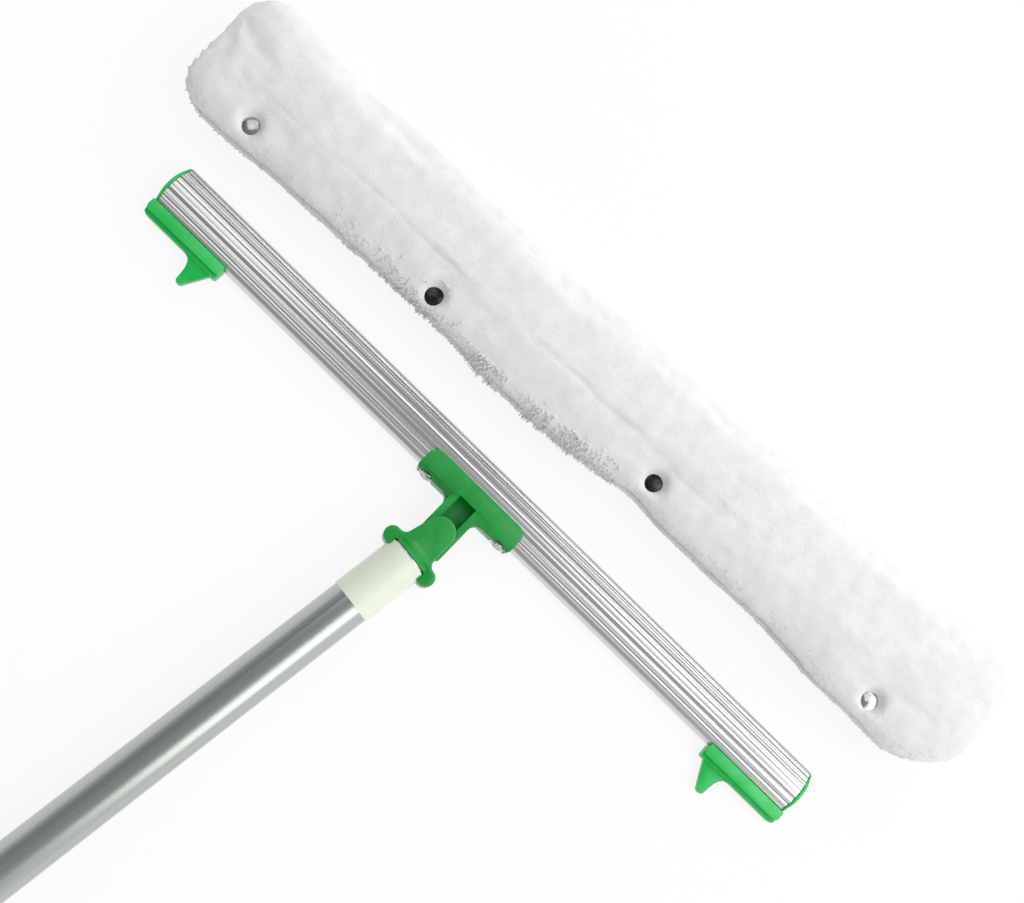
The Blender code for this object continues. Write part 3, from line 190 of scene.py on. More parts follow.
world = bpy.data.worlds.new("studio")
bpy.context.scene.world = world
world.use_nodes = True
tree = world.node_tree
tree.nodes.clear()
place = make_node(tree, "ShaderNodeTexCoord")
split = make_node(tree, "ShaderNodeSeparateXYZ", Vector=place.outputs["Generated"])
overhead = make_node(tree, "ShaderNodeMapRange", Value=split.outputs["X"],
                     From_Min=SKY_LEFT, From_Max=SKY_RIGHT,
                     To_Min=OVERHEAD_LEFT, To_Max=OVERHEAD_RIGHT)
climb = make_node(tree, "ShaderNodeMapRange", {"interpolation_type": "SMOOTHSTEP"},
                  Value=split.outputs["Z"], From_Min=CLIMB_START, From_Max=CLIMB_END)
dome = make_node(tree, "ShaderNodeMix", {"data_type": "FLOAT"})
tree.links.new(climb.outputs[0], dome.inputs[MIX_FACTOR])
dome.inputs[NUMBER_A].default_value = HORIZON_LIGHT
tree.links.new(overhead.outputs[0], dome.inputs[NUMBER_B])
lit = make_node(tree, "ShaderNodeBackground", Color=opaque(1, 1, 1), Strength=dome.outputs[0])
make_node(tree, "ShaderNodeOutputWorld", Surface=lit.outputs[0])
print("world light:", OVERHEAD_LEFT, "to", OVERHEAD_RIGHT, "overhead,",
      HORIZON_LIGHT, "at the horizon")

# %% [markdown]
# ## Soft boxes
# Four broad lamps do what the soft boxes of a studio do. A point lamp would be simpler, but
# it leaves a hard spot on metal, and here the pale bands along the pole and the bar are the
# mirror images of these lamps. Each is given as bright as a white card of a known radiance,
# which is easier to judge than watts.

# %% Soft boxes
SOFT_BOXES = {
    "back_box": ((0, 1.35, 0.62), 2.2, 0.7, 1.75),
    "side_box": ((1.00, 0.10, 0.90), 1.5, 0.9, 2.0),
    "left_box": ((-0.52, 0.42, 1.0), 0.6, 0.6, 1.1),
    "right_box": ((0.36, 0.46, 1.0), 0.5, 0.6, 1.5),
}


def add_soft_box(name, place, width, length, radiance):
    """A rectangular lamp turned towards the origin, as bright as a white card of that radiance."""
    lamp = bpy.data.lights.new(name, "AREA")
    lamp.shape = "RECTANGLE"
    lamp.size = width
    lamp.size_y = length
    lamp.energy = radiance * math.pi * width * length
    box = bpy.data.objects.new(name, lamp)
    box.location = place
    box.rotation_euler = (-Vector(place)).to_track_quat("-Z", "Y").to_euler()
    bpy.context.collection.objects.link(box)


for name, (place, width, length, radiance) in SOFT_BOXES.items():
    add_soft_box(name, place, width, length, radiance)

# %% [markdown]
# ## Two effects that several finishes share
# Brushed metal, moulded plastic and film all vary a little from place to place. One group
# gives stretched noise between two levels: short in all directions it is a grain, and
# drawn out along one axis it is a brushing. The other makes what stands proud paler: partly
# wear from hands and floors, and partly a painted highlight where the edges catch the light.
# Both could be typed again in each finish, but a group is built once, and each finish only
# gives it its own values.

# %% Grain group
NOISE_LOW, NOISE_HIGH = 0.3, 0.7
NOISE_DETAIL = 5.0
NOISE_ROUGHNESS = 0.62


def grain_group():
    """Noise along three stretched axes, spread between a low and a high value."""
    group = bpy.data.node_groups.new("stretched_grain", "ShaderNodeTree")
    face = group.interface
    face.new_socket("Vector", in_out="INPUT", socket_type="NodeSocketVector")
    face.new_socket("Stretch", in_out="INPUT", socket_type="NodeSocketVector")
    face.new_socket("Low", in_out="INPUT", socket_type="NodeSocketFloat")
    face.new_socket("High", in_out="INPUT", socket_type="NodeSocketFloat")
    face.new_socket("Value", in_out="OUTPUT", socket_type="NodeSocketFloat")
    given = group.nodes.new("NodeGroupInput")
    result = group.nodes.new("NodeGroupOutput")
    stretched = make_node(group, "ShaderNodeVectorMath", {"operation": "MULTIPLY"})
    group.links.new(given.outputs["Vector"], stretched.inputs[0])
    group.links.new(given.outputs["Stretch"], stretched.inputs[1])
    speckle = make_node(group, "ShaderNodeTexNoise", Vector=stretched.outputs[0],
                        Scale=1.0, Detail=NOISE_DETAIL, Roughness=NOISE_ROUGHNESS)
    spread = make_node(group, "ShaderNodeMapRange", Value=speckle.outputs[0],
                       From_Min=NOISE_LOW, From_Max=NOISE_HIGH,
                       To_Min=given.outputs["Low"], To_Max=given.outputs["High"])
    group.links.new(spread.outputs[0], result.inputs["Value"])
    return group


GRAIN = grain_group()
print("group:", GRAIN.name)

# %% Wear and painted highlight group
# Proud edges get a paler colour: partly wear, partly a painted highlight where the light catches
# them.
PROUD_FROM, PROUD_FULL = 0.51, 0.60


def wear_and_painted_highlight_group():
    """A paler colour in patches along the proud edges: partly wear, partly a painted highlight."""
    group = bpy.data.node_groups.new("worn_and_painted_highlight_edges", "ShaderNodeTree")
    face = group.interface
    face.new_socket("Colour", in_out="INPUT", socket_type="NodeSocketColor")
    face.new_socket("Rubbed", in_out="INPUT", socket_type="NodeSocketColor")
    face.new_socket("Patches", in_out="INPUT", socket_type="NodeSocketFloat")
    face.new_socket("Colour", in_out="OUTPUT", socket_type="NodeSocketColor")
    given = group.nodes.new("NodeGroupInput")
    result = group.nodes.new("NodeGroupOutput")
    surface = make_node(group, "ShaderNodeNewGeometry")
    proud = make_node(group, "ShaderNodeMapRange", Value=surface.outputs["Pointiness"],
                      From_Min=PROUD_FROM, From_Max=PROUD_FULL)
    mask = make_node(group, "ShaderNodeMath", {"operation": "MULTIPLY", "use_clamp": True})
    group.links.new(proud.outputs[0], mask.inputs[0])
    group.links.new(given.outputs["Patches"], mask.inputs[1])
    blend = make_node(group, "ShaderNodeMix", {"data_type": "RGBA"})
    group.links.new(mask.outputs[0], blend.inputs[MIX_FACTOR])
    group.links.new(given.outputs["Colour"], blend.inputs[COLOUR_A])
    group.links.new(given.outputs["Rubbed"], blend.inputs[COLOUR_B])
    group.links.new(blend.outputs[COLOUR_MIXED], result.inputs["Colour"])
    return group


WEAR_AND_PAINTED_HIGHLIGHT = wear_and_painted_highlight_group()
print("group:", WEAR_AND_PAINTED_HIGHLIGHT.name)


# %% Placing the groups
def place_group(tree, group, **values):
    """Puts a group into a material, with this finish's own values or links."""
    node = tree.nodes.new("ShaderNodeGroup")
    node.node_tree = group
    for name, value in values.items():
        if isinstance(value, bpy.types.NodeSocket):
            tree.links.new(value, node.inputs[name])
        else:
            node.inputs[name].default_value = value
    return node.outputs[0]


def grain(tree, where, stretch, low=0.0, high=1.0):
    """The grain group, stretched along each axis, between two levels."""
    return place_group(tree, GRAIN, Vector=where, Stretch=stretch, Low=low, High=high)


def two_tone(tree, factor, deep, pale):
    """A colour between a deep and a pale one, by a factor that varies over the surface."""
    tint = make_node(tree, "ShaderNodeMix", {"data_type": "RGBA"})
    tree.links.new(factor, tint.inputs[MIX_FACTOR])
    tint.inputs[COLOUR_A].default_value = opaque(*deep)
    tint.inputs[COLOUR_B].default_value = opaque(*pale)
    return tint.outputs[COLOUR_MIXED]


def start_finish(name):
    """A new material with its shader and the object's own coordinates."""
    look = bpy.data.materials.new(name)
    look.use_nodes = True
    tree = look.node_tree
    shader = tree.nodes["Principled BSDF"]
    place = make_node(tree, "ShaderNodeTexCoord")
    return look, tree, shader, place.outputs["Object"]


def add_bump(tree, shader, height, distance, strength):
    """A fine relief on the surface, from a height that varies over it."""
    bump = make_node(tree, "ShaderNodeBump", Height=height, Distance=distance, Strength=strength)
    tree.links.new(bump.outputs[0], shader.inputs["Normal"])


print("groups ready to place:", [group.name for group in bpy.data.node_groups])

# %% [markdown]
# ## Moulded green plastic
# The bracket and the socket are bright green nylon. One flat green would look like paint, so
# it has a satin gloss that varies, a faint mottling from the mould and slightly paler edges,
# partly wear and partly a painted highlight. The end caps are thin and let light through, so
# they look paler. That light could be worked out for real, but it is painted in instead, as
# a lighter mix of the same finish, which is simpler and does as well.

# %% Green plastic
MOTTLE = (220, 220, 220)
# Patches where the proud edges are paler: wear, and a painted highlight.
WEAR_HIGHLIGHT_PATCHES, WEAR_HIGHLIGHT_LEVELS = (90, 90, 90), (0.1, 0.7)
SATIN, SATIN_LEVELS = (60, 60, 60), (0.24, 0.38)
SKIN = (1400, 1400, 1400)
SKIN_HEIGHT, SKIN_STRENGTH = 0.00003, 0.5
PLASTIC_SPECULAR = 0.4


def moulded(name, deep, pale, worn_painted_highlight):
    """Moulded nylon: mottled colour, paler edges of wear and painted highlight, uneven gloss and a
    fine skin.
    """
    look, tree, shader, where = start_finish(name)
    tint = two_tone(tree, grain(tree, where, MOTTLE), deep, pale)
    colour = place_group(tree, WEAR_AND_PAINTED_HIGHLIGHT, Colour=tint, Rubbed=opaque(*worn_painted_highlight),
                         Patches=grain(tree, where, WEAR_HIGHLIGHT_PATCHES, *WEAR_HIGHLIGHT_LEVELS))
    tree.links.new(colour, shader.inputs["Base Color"])
    tree.links.new(grain(tree, where, SATIN, *SATIN_LEVELS), shader.inputs["Roughness"])
    shader.inputs["Specular IOR Level"].default_value = PLASTIC_SPECULAR
    add_bump(tree, shader, grain(tree, where, SKIN), SKIN_HEIGHT, SKIN_STRENGTH)
    return look


# Each green's paler edge colour is partly wear and partly a painted highlight.
green_plastic = moulded("green_plastic", deep=(0.004, 0.255, 0.030), pale=(0.008, 0.310, 0.042),
                        worn_painted_highlight=(0.07, 0.50, 0.14))
# The caps' paler greens are painted light, for the light that shines through the thin plastic;
# their edge colour is a painted highlight.
cap_plastic_painted_light = moulded("cap_plastic_painted_light", deep=(0.006, 0.460, 0.070), pale=(0.010, 0.560, 0.092),
                      worn_painted_highlight=(0.16, 0.76, 0.28))
print("finishes:", green_plastic.name, cap_plastic_painted_light.name)

# %% [markdown]
# ## Metals and the label
# Each of these has two close tones in a pattern, a gloss that varies in a second pattern,
# and a slight relief from the first. What tells them apart is the way the pattern is
# stretched, so one function makes them all.
#
# The bar is an extrusion: the die leaves fine lines along its whole length. The noise is
# therefore drawn out along X, where the bar runs, and packed tightly across it. The pole is
# drawn and satin anodised, with a faint green cast. It leaves the head eight degrees off
# square, so its pattern is turned to follow it. Screws, strip and pin are zinc plated
# steel, with a fine cloudiness and no direction. The snaps are nickel: the outer two are
# given bright tones, and the inner two very dark ones. The label is a plain cream film,
# which is no metal but varies in the same way.


# %% A finish of two close tones
def patterned(name, tones, pattern, polish, gloss, bump, metallic=1.0, turn=0.0):
    """A finish of two tones and a gloss, in patterns that are stretched along the axes."""
    look, tree, shader, where = start_finish(name)
    shader.inputs["Metallic"].default_value = metallic
    if turn:
        where = make_node(tree, "ShaderNodeMapping", Vector=where, Rotation=(0, 0, turn)).outputs[0]
    lines = grain(tree, where, pattern)
    tree.links.new(two_tone(tree, lines, *tones), shader.inputs["Base Color"])
    tree.links.new(grain(tree, where, polish, *gloss), shader.inputs["Roughness"])
    add_bump(tree, shader, lines, *bump)
    return look


bar_aluminium = patterned("bar_aluminium", tones=((0.63, 0.63, 0.64), (0.69, 0.69, 0.70)),
                          pattern=(0.3, 620, 620), polish=(0.4, 400, 400), gloss=(0.19, 0.23),
                          bump=(0.00001, 0.2))
print("finish:", bar_aluminium.name)

# %% Pole metal
POLE_TURN = math.radians(8.0)

pole_metal = patterned("pole_metal", tones=((0.42, 0.46, 0.43), (0.53, 0.57, 0.54)),
                       pattern=(1100, 2, 1100), polish=(300, 3, 300), gloss=(0.24, 0.34),
                       bump=(0.00001, 0.3), turn=POLE_TURN)
print("finish:", pole_metal.name)

# %% Plated metal
CLOUDS = (500, 500, 500)
PLATING = (900, 900, 900)
PLATING_BUMP = (0.00002, 0.4)

screw_steel = patterned("screw_steel", tones=((0.42, 0.48, 0.43), (0.58, 0.63, 0.59)),
                        pattern=CLOUDS, polish=PLATING, gloss=(0.24, 0.36), bump=PLATING_BUMP)
snap_bright = patterned("snap_bright", tones=((0.32, 0.32, 0.32), (0.52, 0.52, 0.52)),
                        pattern=CLOUDS, polish=PLATING, gloss=(0.10, 0.22), bump=PLATING_BUMP)
snap_dark = patterned("snap_dark", tones=((0.020, 0.020, 0.022), (0.055, 0.055, 0.060)),
                      pattern=CLOUDS, polish=PLATING, gloss=(0.16, 0.32), bump=PLATING_BUMP)
print("finishes:", screw_steel.name, snap_bright.name, snap_dark.name)

# %% Label film
label_film = patterned("label_film", tones=((0.73, 0.81, 0.65), (0.79, 0.86, 0.71)),
                       pattern=(140, 140, 140), polish=(300, 300, 300), gloss=(0.34, 0.48),
                       bump=(0.00004, 0.5), metallic=0.0)
print("finish:", label_film.name)

# %% [markdown]
# ## Finer copies of the hard pieces
# The frame's meshes are plain triangles, and its pieces are only hidden, never changed. The
# frame's meshes are plain triangles, and its pieces may not be changed. Shaded flat, they would
# show every triangle on the rounded parts. So each gets a copy: its points are merged, its flat
# areas are joined into single faces, and it is shaded smooth, with the true corners kept sharp.
# The copy stands for its node and rides on the same body.

# %% Refining a piece
MERGE_DISTANCE = 0.00001
FLAT_ANGLE = math.radians(0.6)
SHARP_ANGLE = math.radians(32)


def refined(node, look):
    """A finer copy of a frame node, which replaces it and rides on its body."""
    shape = bmesh.new()
    shape.from_mesh(frame["nodes"][node].data)
    bmesh.ops.remove_doubles(shape, verts=shape.verts, dist=MERGE_DISTANCE)
    bmesh.ops.dissolve_limit(shape, angle_limit=FLAT_ANGLE, verts=shape.verts, edges=shape.edges)
    mesh = bpy.data.meshes.new(node + "_finish")
    shape.to_mesh(mesh)
    shape.free()
    mesh.shade_smooth()
    mesh.set_sharp_from_angle(angle=SHARP_ANGLE)
    mesh.materials.append(look)
    piece = bpy.data.objects.new(node + "_finish", mesh)
    bpy.context.collection.objects.link(piece)
    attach(piece, body_of_node[node])
    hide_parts(node)
    return piece


print("corners sharper than", round(math.degrees(SHARP_ANGLE)), "degrees stay sharp")

# %% Hard pieces
HARD_PIECES = {
    "bar_extrusion": (bar_aluminium, "bar_aluminium"),
    "end_cap_left": (cap_plastic_painted_light, "green_plastic"),
    "end_cap_right": (cap_plastic_painted_light, "green_plastic"),
    "tbar_bracket": (green_plastic, "green_plastic"),
    "pole_socket": (green_plastic, "green_plastic"),
    "pole_end_cap": (green_plastic, "green_plastic"),
    "bracket_screw_left": (screw_steel, "screw_steel"),
    "bracket_screw_right": (screw_steel, "screw_steel"),
    "nut_plate": (screw_steel, "screw_steel"),
    "swivel_pin": (screw_steel, "screw_steel"),
    "pole_tube": (pole_metal, "pole_metal"),
    "label_band": (label_film, "label"),
}
for node, (look, slot) in HARD_PIECES.items():
    piece = refined(node, look)
    print(piece.name, len(piece.data.polygons), "faces")

# %% [markdown]
# ## Snap fasteners
# Four snaps hold the sleeve shut. Each is a cap and a socket on the upper layer, and a stud
# and a rivet on the lower one, so that it comes apart when the sleeve opens. The fixed model
# has all four pieces at their true size, so they only need the same finer copies.

# %% Snaps
SNAP_LOOKS = {1: snap_bright, 2: snap_dark, 3: snap_dark, 4: snap_bright}
for number, look in SNAP_LOOKS.items():
    for kind in ("snap_cap", "snap_socket", "snap_stud", "snap_rivet"):
        refined(f"{kind}_{number}", look)
print("snaps:", len(SNAP_LOOKS))

# %% [markdown]
# ## The fleece sleeve
# The sleeve is one pad of thick white pile, folded in two and snapped shut on the handle's
# side. It could be hair, but here the pile is so short and dense that it reads as one lumpy
# skin. The two layers and the fold of the fixed model are joined by a voxel remesh. That
# would close a gap of only two voxels, so the upper layer is lifted clear first and put
# back afterwards, and the pocket between the layers stays open.

# %% Where the sleeve lies
SLEEVE_PLACE = Vector((0.0035, 0.0729, 0.0))
SLEEVE_TURN = math.radians(1.9)
POCKET_LOW = 0.0118
POCKET_HIGH = 0.0162
POCKET_MIDDLE = (POCKET_LOW + POCKET_HIGH) / 2
FAR_EDGE = 0.0270
FOLD_INNER = 0.0170

to_sleeve = Matrix.Rotation(-SLEEVE_TURN, 4, "Z") @ Matrix.Translation(-SLEEVE_PLACE)
from_sleeve = to_sleeve.inverted()
snap_middles = []
for number in SNAP_LOOKS:
    low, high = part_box(f"snap_cap_{number}")
    snap_middles.append(to_sleeve @ ((Vector(low) + Vector(high)) / 2))
print("snaps along the sleeve:", [round(middle.x, 3) for middle in snap_middles])

# %% Three solids, lifted apart
POCKET_SPREAD = 0.0060
FOLD_STRETCH = 3.5
FOLD_PUSH = 0.0012


def joined_sleeve():
    """Both layers and the fold, in the sleeve's own frame, with the upper layer lifted clear."""
    shape = bmesh.new()
    for node in ("sleeve_lower_layer", "sleeve_upper_layer", "sleeve_fold"):
        first = len(shape.verts)
        shape.from_mesh(frame["nodes"][node].data)
        shape.verts.ensure_lookup_table()
        added = shape.verts[first:]
        bmesh.ops.transform(shape, matrix=to_sleeve, verts=added)
        if node == "sleeve_upper_layer":
            bmesh.ops.translate(shape, vec=(0, 0, POCKET_SPREAD), verts=added)
        if node == "sleeve_fold":
            to_middle = Matrix.Translation((0, 0, -POCKET_MIDDLE))
            bmesh.ops.scale(shape, vec=(1, 1, FOLD_STRETCH), verts=added, space=to_middle)
            bmesh.ops.translate(shape, vec=(0, FOLD_PUSH, POCKET_SPREAD / 2), verts=added)
    bmesh.ops.remove_doubles(shape, verts=shape.verts, dist=MERGE_DISTANCE)
    mesh = bpy.data.meshes.new("fleece_skin")
    shape.to_mesh(mesh)
    shape.free()
    return mesh


fleece = bpy.data.objects.new("fleece_sleeve", joined_sleeve())
bpy.context.collection.objects.link(fleece)
print("sleeve solids:", len(fleece.data.vertices), "points")

# %% One skin
PILE_VOXEL = 0.0021


def put_back(height):
    """The real height of a point of the lifted sleeve."""
    if height <= POCKET_LOW:
        return height
    if height >= POCKET_HIGH + POCKET_SPREAD:
        return height - POCKET_SPREAD
    gap = POCKET_HIGH - POCKET_LOW
    return POCKET_LOW + (height - POCKET_LOW) * gap / (gap + POCKET_SPREAD)


def evaluated_mesh(thing):
    """The mesh of an object with its modifiers applied."""
    graph = bpy.context.evaluated_depsgraph_get()
    return bpy.data.meshes.new_from_object(thing.evaluated_get(graph))


remesh = fleece.modifiers.new("remesh", "REMESH")
remesh.mode = "VOXEL"
remesh.voxel_size = PILE_VOXEL
skin = evaluated_mesh(fleece)
for vertex in skin.vertices:
    vertex.co.z = put_back(vertex.co.z)
fleece.modifiers.clear()
fleece.data = skin
print("fleece skin:", len(skin.vertices), "points")

# %% Which part of the pad a point is on
BACKING_MARGIN = 0.0009


def snap_distance(point):
    """Distance in plan from a point to the nearest snap's middle."""
    return min((point.xy - middle.xy).length for middle in snap_middles)


def in_pocket(point):
    """True where a point is on the smooth backing inside the pocket."""
    between = POCKET_LOW - BACKING_MARGIN < point.z < POCKET_HIGH + BACKING_MARGIN
    return between and point.y < FAR_EDGE


def on_its_layer(height, start):
    """Keeps a height on the layer that it starts from, out of the pocket and off the floor."""
    if start < POCKET_MIDDLE:
        return min(max(height, 0.0), POCKET_LOW)
    return max(height, POCKET_HIGH)


print("points on the backing:", sum(in_pocket(vertex.co) for vertex in skin.vertices))

# %% [markdown]
# ## Letting the pad settle
# A real pad is not ruled: it swells between the places that hold it. Swelling could be
# painted on with noise alone, but noise knows nothing of the snaps. A short cloth simulation
# with a little pressure does. The backing, the snaps and the underside are held, and no
# point may move by more than two millimetres.

# %% Cloth
CLOTH_STEPS = 20
MOST_SWELL = 0.0020
HELD_ROUND_SNAP = 0.0085
UNDERSIDE = 0.0015
CLOTH_SETTINGS = {
    "quality": 4,
    "mass": 0.15,
    "tension_stiffness": 12,
    "compression_stiffness": 12,
    "bending_stiffness": 0.4,
    "use_pressure": True,
    "uniform_pressure_force": 4.0,
    "vertex_group_mass": "held",
}


def settled(thing):
    """Lets the pad swell, keeps each move within its limit, and returns the moves' lengths."""
    held = thing.vertex_groups.new(name="held")
    for vertex in thing.data.vertices:
        point = vertex.co
        near_snap = snap_distance(point) < HELD_ROUND_SNAP
        if in_pocket(point) or near_snap or point.z < UNDERSIDE:
            held.add([vertex.index], 1.0, "REPLACE")
    cloth = thing.modifiers.new("cloth", "CLOTH")
    for name, value in CLOTH_SETTINGS.items():
        setattr(cloth.settings, name, value)
    cloth.settings.effector_weights.gravity = 0.0
    scene = bpy.context.scene
    for step in range(1, CLOTH_STEPS + 1):
        scene.frame_set(step)
    swollen = evaluated_mesh(thing)
    moves = []
    for vertex, target in zip(thing.data.vertices, swollen.vertices):
        move = target.co - vertex.co
        if move.length > MOST_SWELL:
            move = move.normalized() * MOST_SWELL
        moves.append(move.length)
        vertex.co += move
        vertex.co.z = max(vertex.co.z, 0.0)
    thing.modifiers.clear()
    thing.vertex_groups.clear()
    scene.frame_set(1)
    return moves


moves = settled(fleece)
print("mean swell:", round(1000 * sum(moves) / len(moves), 2), "mm")

# %% [markdown]
# ## Pile
# Fleece shows three sizes of detail: broad soft swells, locks a few millimetres across, and
# the tips of the tufts. Displacement in the finish could raise them all, but it would be
# seen in pictures only and not be in the mesh. So each is one octave of noise along the
# normal, worked out point by point, and each point also keeps a painted shade for its
# colour, greyer deep among the locks. A shallow crease runs along the middle, where the pile
# parts and is painted greyer as shade, and the backing stays smooth.

# %% Softer skin with enough points
SOFTENING = 0.5

shape = bmesh.new()
shape.from_mesh(fleece.data)
bmesh.ops.smooth_vert(shape, verts=shape.verts, factor=SOFTENING, use_axis_x=True,
                      use_axis_y=True, use_axis_z=True)
shape.to_mesh(fleece.data)
shape.free()
finer = fleece.modifiers.new("finer", "SUBSURF")
finer.levels = 1
finer.render_levels = 1
fleece.data = evaluated_mesh(fleece)
fleece.modifiers.clear()
print("points for the pile:", len(fleece.data.vertices))


# %% Noise in waves
def clamped(value):
    """A share, kept from 0 to 1."""
    return min(1.0, max(0.0, value))


def wave_along(x, waves, row):
    """Noise along the sleeve, with so many waves in a metre; each row is a pattern of its own."""
    return noise.noise(Vector((x * waves, *row)))


samples = [wave_along(step, 0.1, (0.5, 0.0)) for step in range(200)]
print("noise runs from", round(min(samples), 2), "to", round(max(samples), 2))

# %% Crease
CREASE_MIDDLE = -0.0108
CREASE_DEPTH = 0.0006
CREASE_WIDTH = 0.0014
CREASE_START = -0.205
CREASE_END = 0.110
CREASE_START_FADE = 0.03
CREASE_END_FADE = 0.05
CREASE_SHARE = 0.6
CREASE_PATCHES = 45.0
TOP_FACING = 0.2
WANDER, WANDER_WAVES, WANDER_ROW = 0.0036, 24.0, (3.7, 0.0)
WIGGLE, WIGGLE_WAVES, WIGGLE_ROW = 0.0014, 95.0, (8.1, 0.0)


def crease_line(x):
    """Where the pile parts, measured across the sleeve, at a distance along it."""
    wander = WANDER * wave_along(x, WANDER_WAVES, WANDER_ROW)
    return CREASE_MIDDLE + wander + WIGGLE * wave_along(x, WIGGLE_WAVES, WIGGLE_ROW)


def parting(point, normal):
    """How strongly the pile parts at a point, 0 away from the crease."""
    if point.z <= POCKET_HIGH or normal.z <= TOP_FACING:
        return 0.0
    across = (point.y - crease_line(point.x)) / CREASE_WIDTH
    patches = max(0.0, CREASE_SHARE + noise.noise(point * CREASE_PATCHES))
    share = math.exp(-across * across) * patches
    share *= clamped((CREASE_END - point.x) / CREASE_END_FADE)
    return share * clamped((point.x - CREASE_START) / CREASE_START_FADE)


print("crease at the middle:", round(1000 * crease_line(0.0), 1), "mm across")

# %% Teeth of the ragged corner
TOOTH_CORNER = -0.205
TOOTH_START = -0.034
TOOTH_END = -0.008
TOOTH_PITCH = 0.0052
TOOTH_LENGTH = 0.0017


def tooth_reach(point):
    """How far a tooth of the ragged left corner reaches at a point, 0 elsewhere."""
    if point.x > TOOTH_CORNER or not TOOTH_START < point.y < TOOTH_END:
        return 0.0
    return TOOTH_LENGTH * (((point.y - TOOTH_START) / TOOTH_PITCH) % 1.0 - 0.5)


print("teeth:", round((TOOTH_END - TOOTH_START) / TOOTH_PITCH))

# %% Locks
SWELL_WAVES, SWELL_HEIGHT = 38.0, 0.0008
LOCK_WAVES, LOCK_HEIGHT = 150.0, 0.00030
TIP_WAVES, TIP_HEIGHT = 420.0, 0.00022
# Painted shade: the pile's colour is greyer deep among the locks, the tips paler.
MEAN_PAINTED_SHADE = 0.70
LOCK_SHADE = 0.22
TIP_SHADE = 0.25
CREASE_SHADE = 0.34
BARE_ROUND_SNAP = 0.0052
PILE_RETURN = 0.003
SIDE_FACING = 0.8


def pile_rise(point):
    """How far the pile stands above the skin, and its painted shade, greyer deep among the locks.
    """
    broad = noise.noise(point * SWELL_WAVES)
    lock = noise.noise(point * LOCK_WAVES)
    tip = 0.5 - abs(noise.noise(point * TIP_WAVES))
    rise = SWELL_HEIGHT * broad + LOCK_HEIGHT * lock + TIP_HEIGHT * tip
    return rise, MEAN_PAINTED_SHADE + LOCK_SHADE * lock + TIP_SHADE * tip


def raised(start, normal):
    """Where a point of the skin goes, and its painted shade, greyer among the locks and in the
    crease.
    """
    rise, painted_shade = pile_rise(start)
    parted = parting(start, normal)
    rise -= CREASE_DEPTH * parted
    # The crease is painted greyer, as shade.
    painted_shade -= CREASE_SHADE * parted
    smooth = in_pocket(start)
    room = 0.0 if smooth else clamped((snap_distance(start) - BARE_ROUND_SNAP) / PILE_RETURN)
    point = start + normal * rise * room
    if not smooth and abs(normal.z) < SIDE_FACING:
        point.x -= tooth_reach(start)
    point.z = max(point.z, 0.0)
    if start.y < (FOLD_INNER if smooth else FAR_EDGE):
        point.z = on_its_layer(point.z, start.z)
    return point, clamped(painted_shade)


shape = bmesh.new()
shape.from_mesh(fleece.data)
shape.normal_update()
painted_shade_layer = shape.verts.layers.float.new("painted_pile_shade")
targets = [(vertex, *raised(vertex.co.copy(), vertex.normal)) for vertex in shape.verts]
for vertex, point, painted_shade in targets:
    vertex.co = point
    vertex[painted_shade_layer] = painted_shade
print("locks raised on", len(targets), "points")

# %% [markdown]
# ## Ragged tufts
# Left of its middle, the sleeve's near edge is ragged: the pile there sticks out in tufts.
# Tufts could be scattered as separate pieces, but they would have to be joined to the pad
# without a gap. Drawing faces out of the skin itself leaves nothing to join. Each chosen
# face is drawn out in two steps, and each step is narrower, leans a little at random and
# is painted a shade greyer.

# %% Where tufts grow
TUFT_SEED = 11
RAGGED_LEFT, RAGGED_LEFT_FADE = -0.140, 0.02
RAGGED_RIGHT, RAGGED_RIGHT_FADE = 0.045, 0.03
RAGGED_FRONT = -0.018
CLUSTER_MEAN, CLUSTER_SPREAD = 0.5, 0.9
CLUSTER_WAVES, CLUSTER_ROW = 55.0, (0.0, 5.0)
FRONT_FACING = 0.45
BARE_UNDERSIDE = 0.002
NO_TUFT_ROUND_SNAP = 0.0065
STRAY_CHANCE, RAGGED_CHANCE = 0.06, 0.55
STRAY_TUFT, RAGGED_TUFT = 0.0004, 0.0030

chance = random.Random(TUFT_SEED)
shape.normal_update()


def raggedness(x):
    """How ragged the near edge is at a distance along the sleeve: only a stretch left of middle."""
    inside = min(clamped((x - RAGGED_LEFT) / RAGGED_LEFT_FADE),
                 clamped((RAGGED_RIGHT - x) / RAGGED_RIGHT_FADE))
    cluster = CLUSTER_MEAN + CLUSTER_SPREAD * wave_along(x, CLUSTER_WAVES, CLUSTER_ROW)
    return inside * clamped(cluster)


def tuft_length(face):
    """Length of the tuft that grows from a face, 0 where none does."""
    middle = face.calc_center_median()
    if in_pocket(middle) or middle.z < BARE_UNDERSIDE or snap_distance(middle) < NO_TUFT_ROUND_SNAP:
        return 0.0
    if -face.normal.y < FRONT_FACING or middle.y > RAGGED_FRONT:
        return 0.0
    ragged = raggedness(middle.x)
    if chance.random() < STRAY_CHANCE + RAGGED_CHANCE * ragged:
        return STRAY_TUFT + RAGGED_TUFT * ragged * chance.random()
    return 0.0


tufts = [(face, tuft_length(face)) for face in shape.faces]
tufts = [(face, length) for face, length in tufts if length > 0]
print("tufts:", len(tufts))

# %% Drawing the tufts out
TUFT_STEPS = ((0.60, 0.55), (0.35, 0.45))
TUFT_LEANS = ((-0.5, 0.5), (-0.3, 0.2), (-0.5, 0.3))
LEAN_SHARE = 0.5
# Each step of a tuft is painted this much greyer, as shade among the tufts.
TUFT_SHADE = 0.12

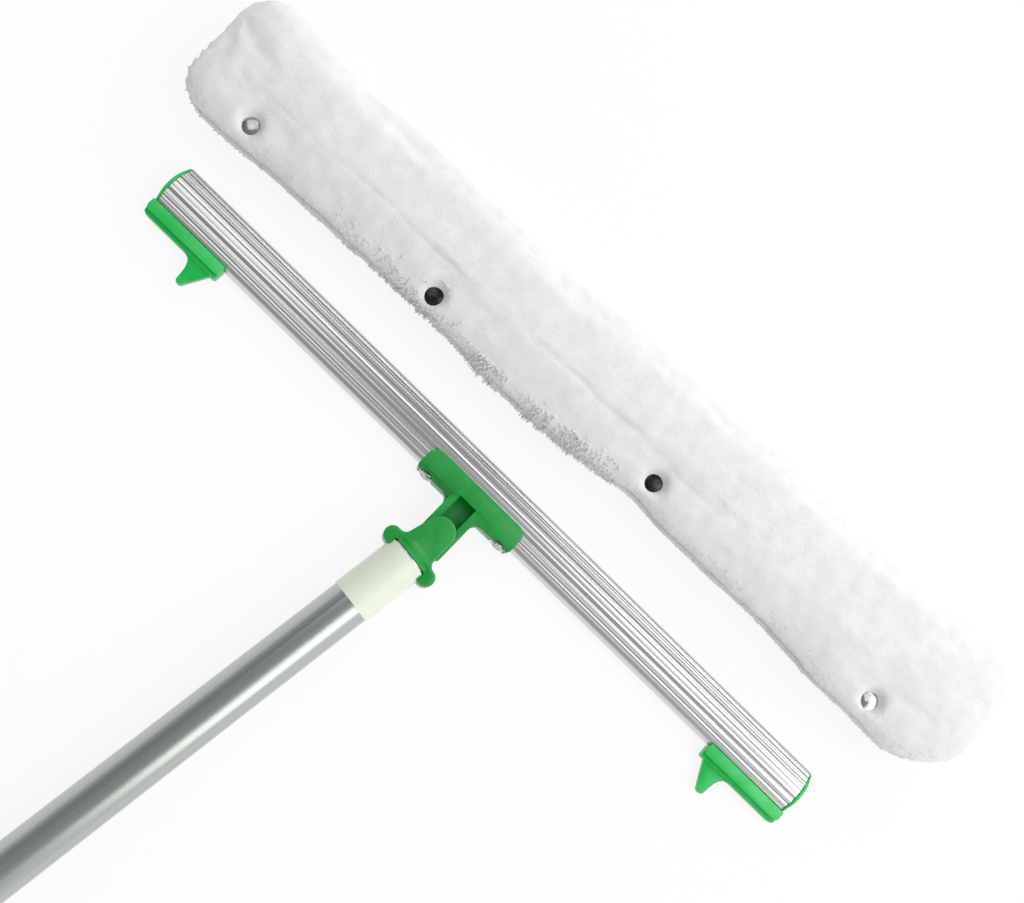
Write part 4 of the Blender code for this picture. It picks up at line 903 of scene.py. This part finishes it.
grown = [face for face, length in tufts]
lengths = [length for face, length in tufts]
for shrink, part in TUFT_STEPS:
    grown = bmesh.ops.extrude_discrete_faces(shape, faces=grown)["faces"]
    for face, length in zip(grown, lengths):
        middle = face.calc_center_median()
        lean = Vector([chance.uniform(least, most) for least, most in TUFT_LEANS])
        step = (face.normal + LEAN_SHARE * lean).normalized() * length * part
        for vertex in face.verts:
            vertex.co = middle + (vertex.co - middle) * shrink + step
            vertex.co.z = on_its_layer(vertex.co.z, middle.z)
            vertex[painted_shade_layer] = max(0.0, vertex[painted_shade_layer] - TUFT_SHADE)
print("longest tuft:", round(1000 * max(lengths), 1), "mm")

# %% Fleece object
bmesh.ops.transform(shape, matrix=from_sleeve, verts=shape.verts)
bmesh.ops.recalc_face_normals(shape, faces=shape.faces)
mesh = bpy.data.meshes.new("fleece_sleeve")
shape.to_mesh(mesh)
shape.free()
mesh.shade_smooth()
fleece.data = mesh
print("fleece:", len(mesh.polygons), "faces")

# %% [markdown]
# ## Finish of the fleece
# The wool is white, with painted shade: it is greyer down between the locks, in the crease
# and on the tufts. It has fine fibres that catch the light at a low angle. One white all
# over would look like plaster, so the colour follows the painted shade that each point
# remembers. The fibres are a fine bump, too small for the mesh, and the catch of light is sheen.

# %% Fleece finish
SHEEN_WEIGHT = 0.12
SHEEN_ROUGHNESS = 0.5
FLEECE_SPECULAR = 0.15
FLEECE_CLOUDS, CLOUD_LEVELS = (26, 40, 40), (-0.06, 0.06)
# The first tint is painted shade, for points deep among the locks, in the crease and on the tufts.
FLEECE_PAINTED_SHADE, FLEECE_PALE = (0.66, 0.665, 0.655), (0.855, 0.855, 0.85)
FLEECE_POLISH, FLEECE_GLOSS = (200, 200, 200), (0.82, 0.98)
FIBRES = (700, 1100, 1100)
FIBRE_HEIGHT, FIBRE_STRENGTH = 0.00022, 0.45

fleece_look, tree, shader, where = start_finish("fleece_wool")
shader.inputs["Sheen Weight"].default_value = SHEEN_WEIGHT
shader.inputs["Sheen Roughness"].default_value = SHEEN_ROUGHNESS
shader.inputs["Specular IOR Level"].default_value = FLEECE_SPECULAR
painted_shade = make_node(tree, "ShaderNodeAttribute", {"attribute_name": "painted_pile_shade"})
total = make_node(tree, "ShaderNodeMath", {"operation": "ADD", "use_clamp": True})
tree.links.new(painted_shade.outputs["Fac"], total.inputs[0])
tree.links.new(grain(tree, where, FLEECE_CLOUDS, *CLOUD_LEVELS), total.inputs[1])
tint = two_tone(tree, total.outputs[0], FLEECE_PAINTED_SHADE, FLEECE_PALE)
tree.links.new(tint, shader.inputs["Base Color"])
tree.links.new(grain(tree, where, FLEECE_POLISH, *FLEECE_GLOSS), shader.inputs["Roughness"])
add_bump(tree, shader, grain(tree, where, FIBRES), FIBRE_HEIGHT, FIBRE_STRENGTH)
fleece.data.materials.append(fleece_look)
print("finish:", fleece_look.name)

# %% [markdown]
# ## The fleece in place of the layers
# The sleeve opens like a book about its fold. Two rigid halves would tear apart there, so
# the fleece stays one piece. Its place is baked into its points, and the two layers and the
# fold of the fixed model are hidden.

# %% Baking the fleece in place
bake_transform(fleece)
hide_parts("sleeve_lower_layer", "sleeve_upper_layer", "sleeve_fold")
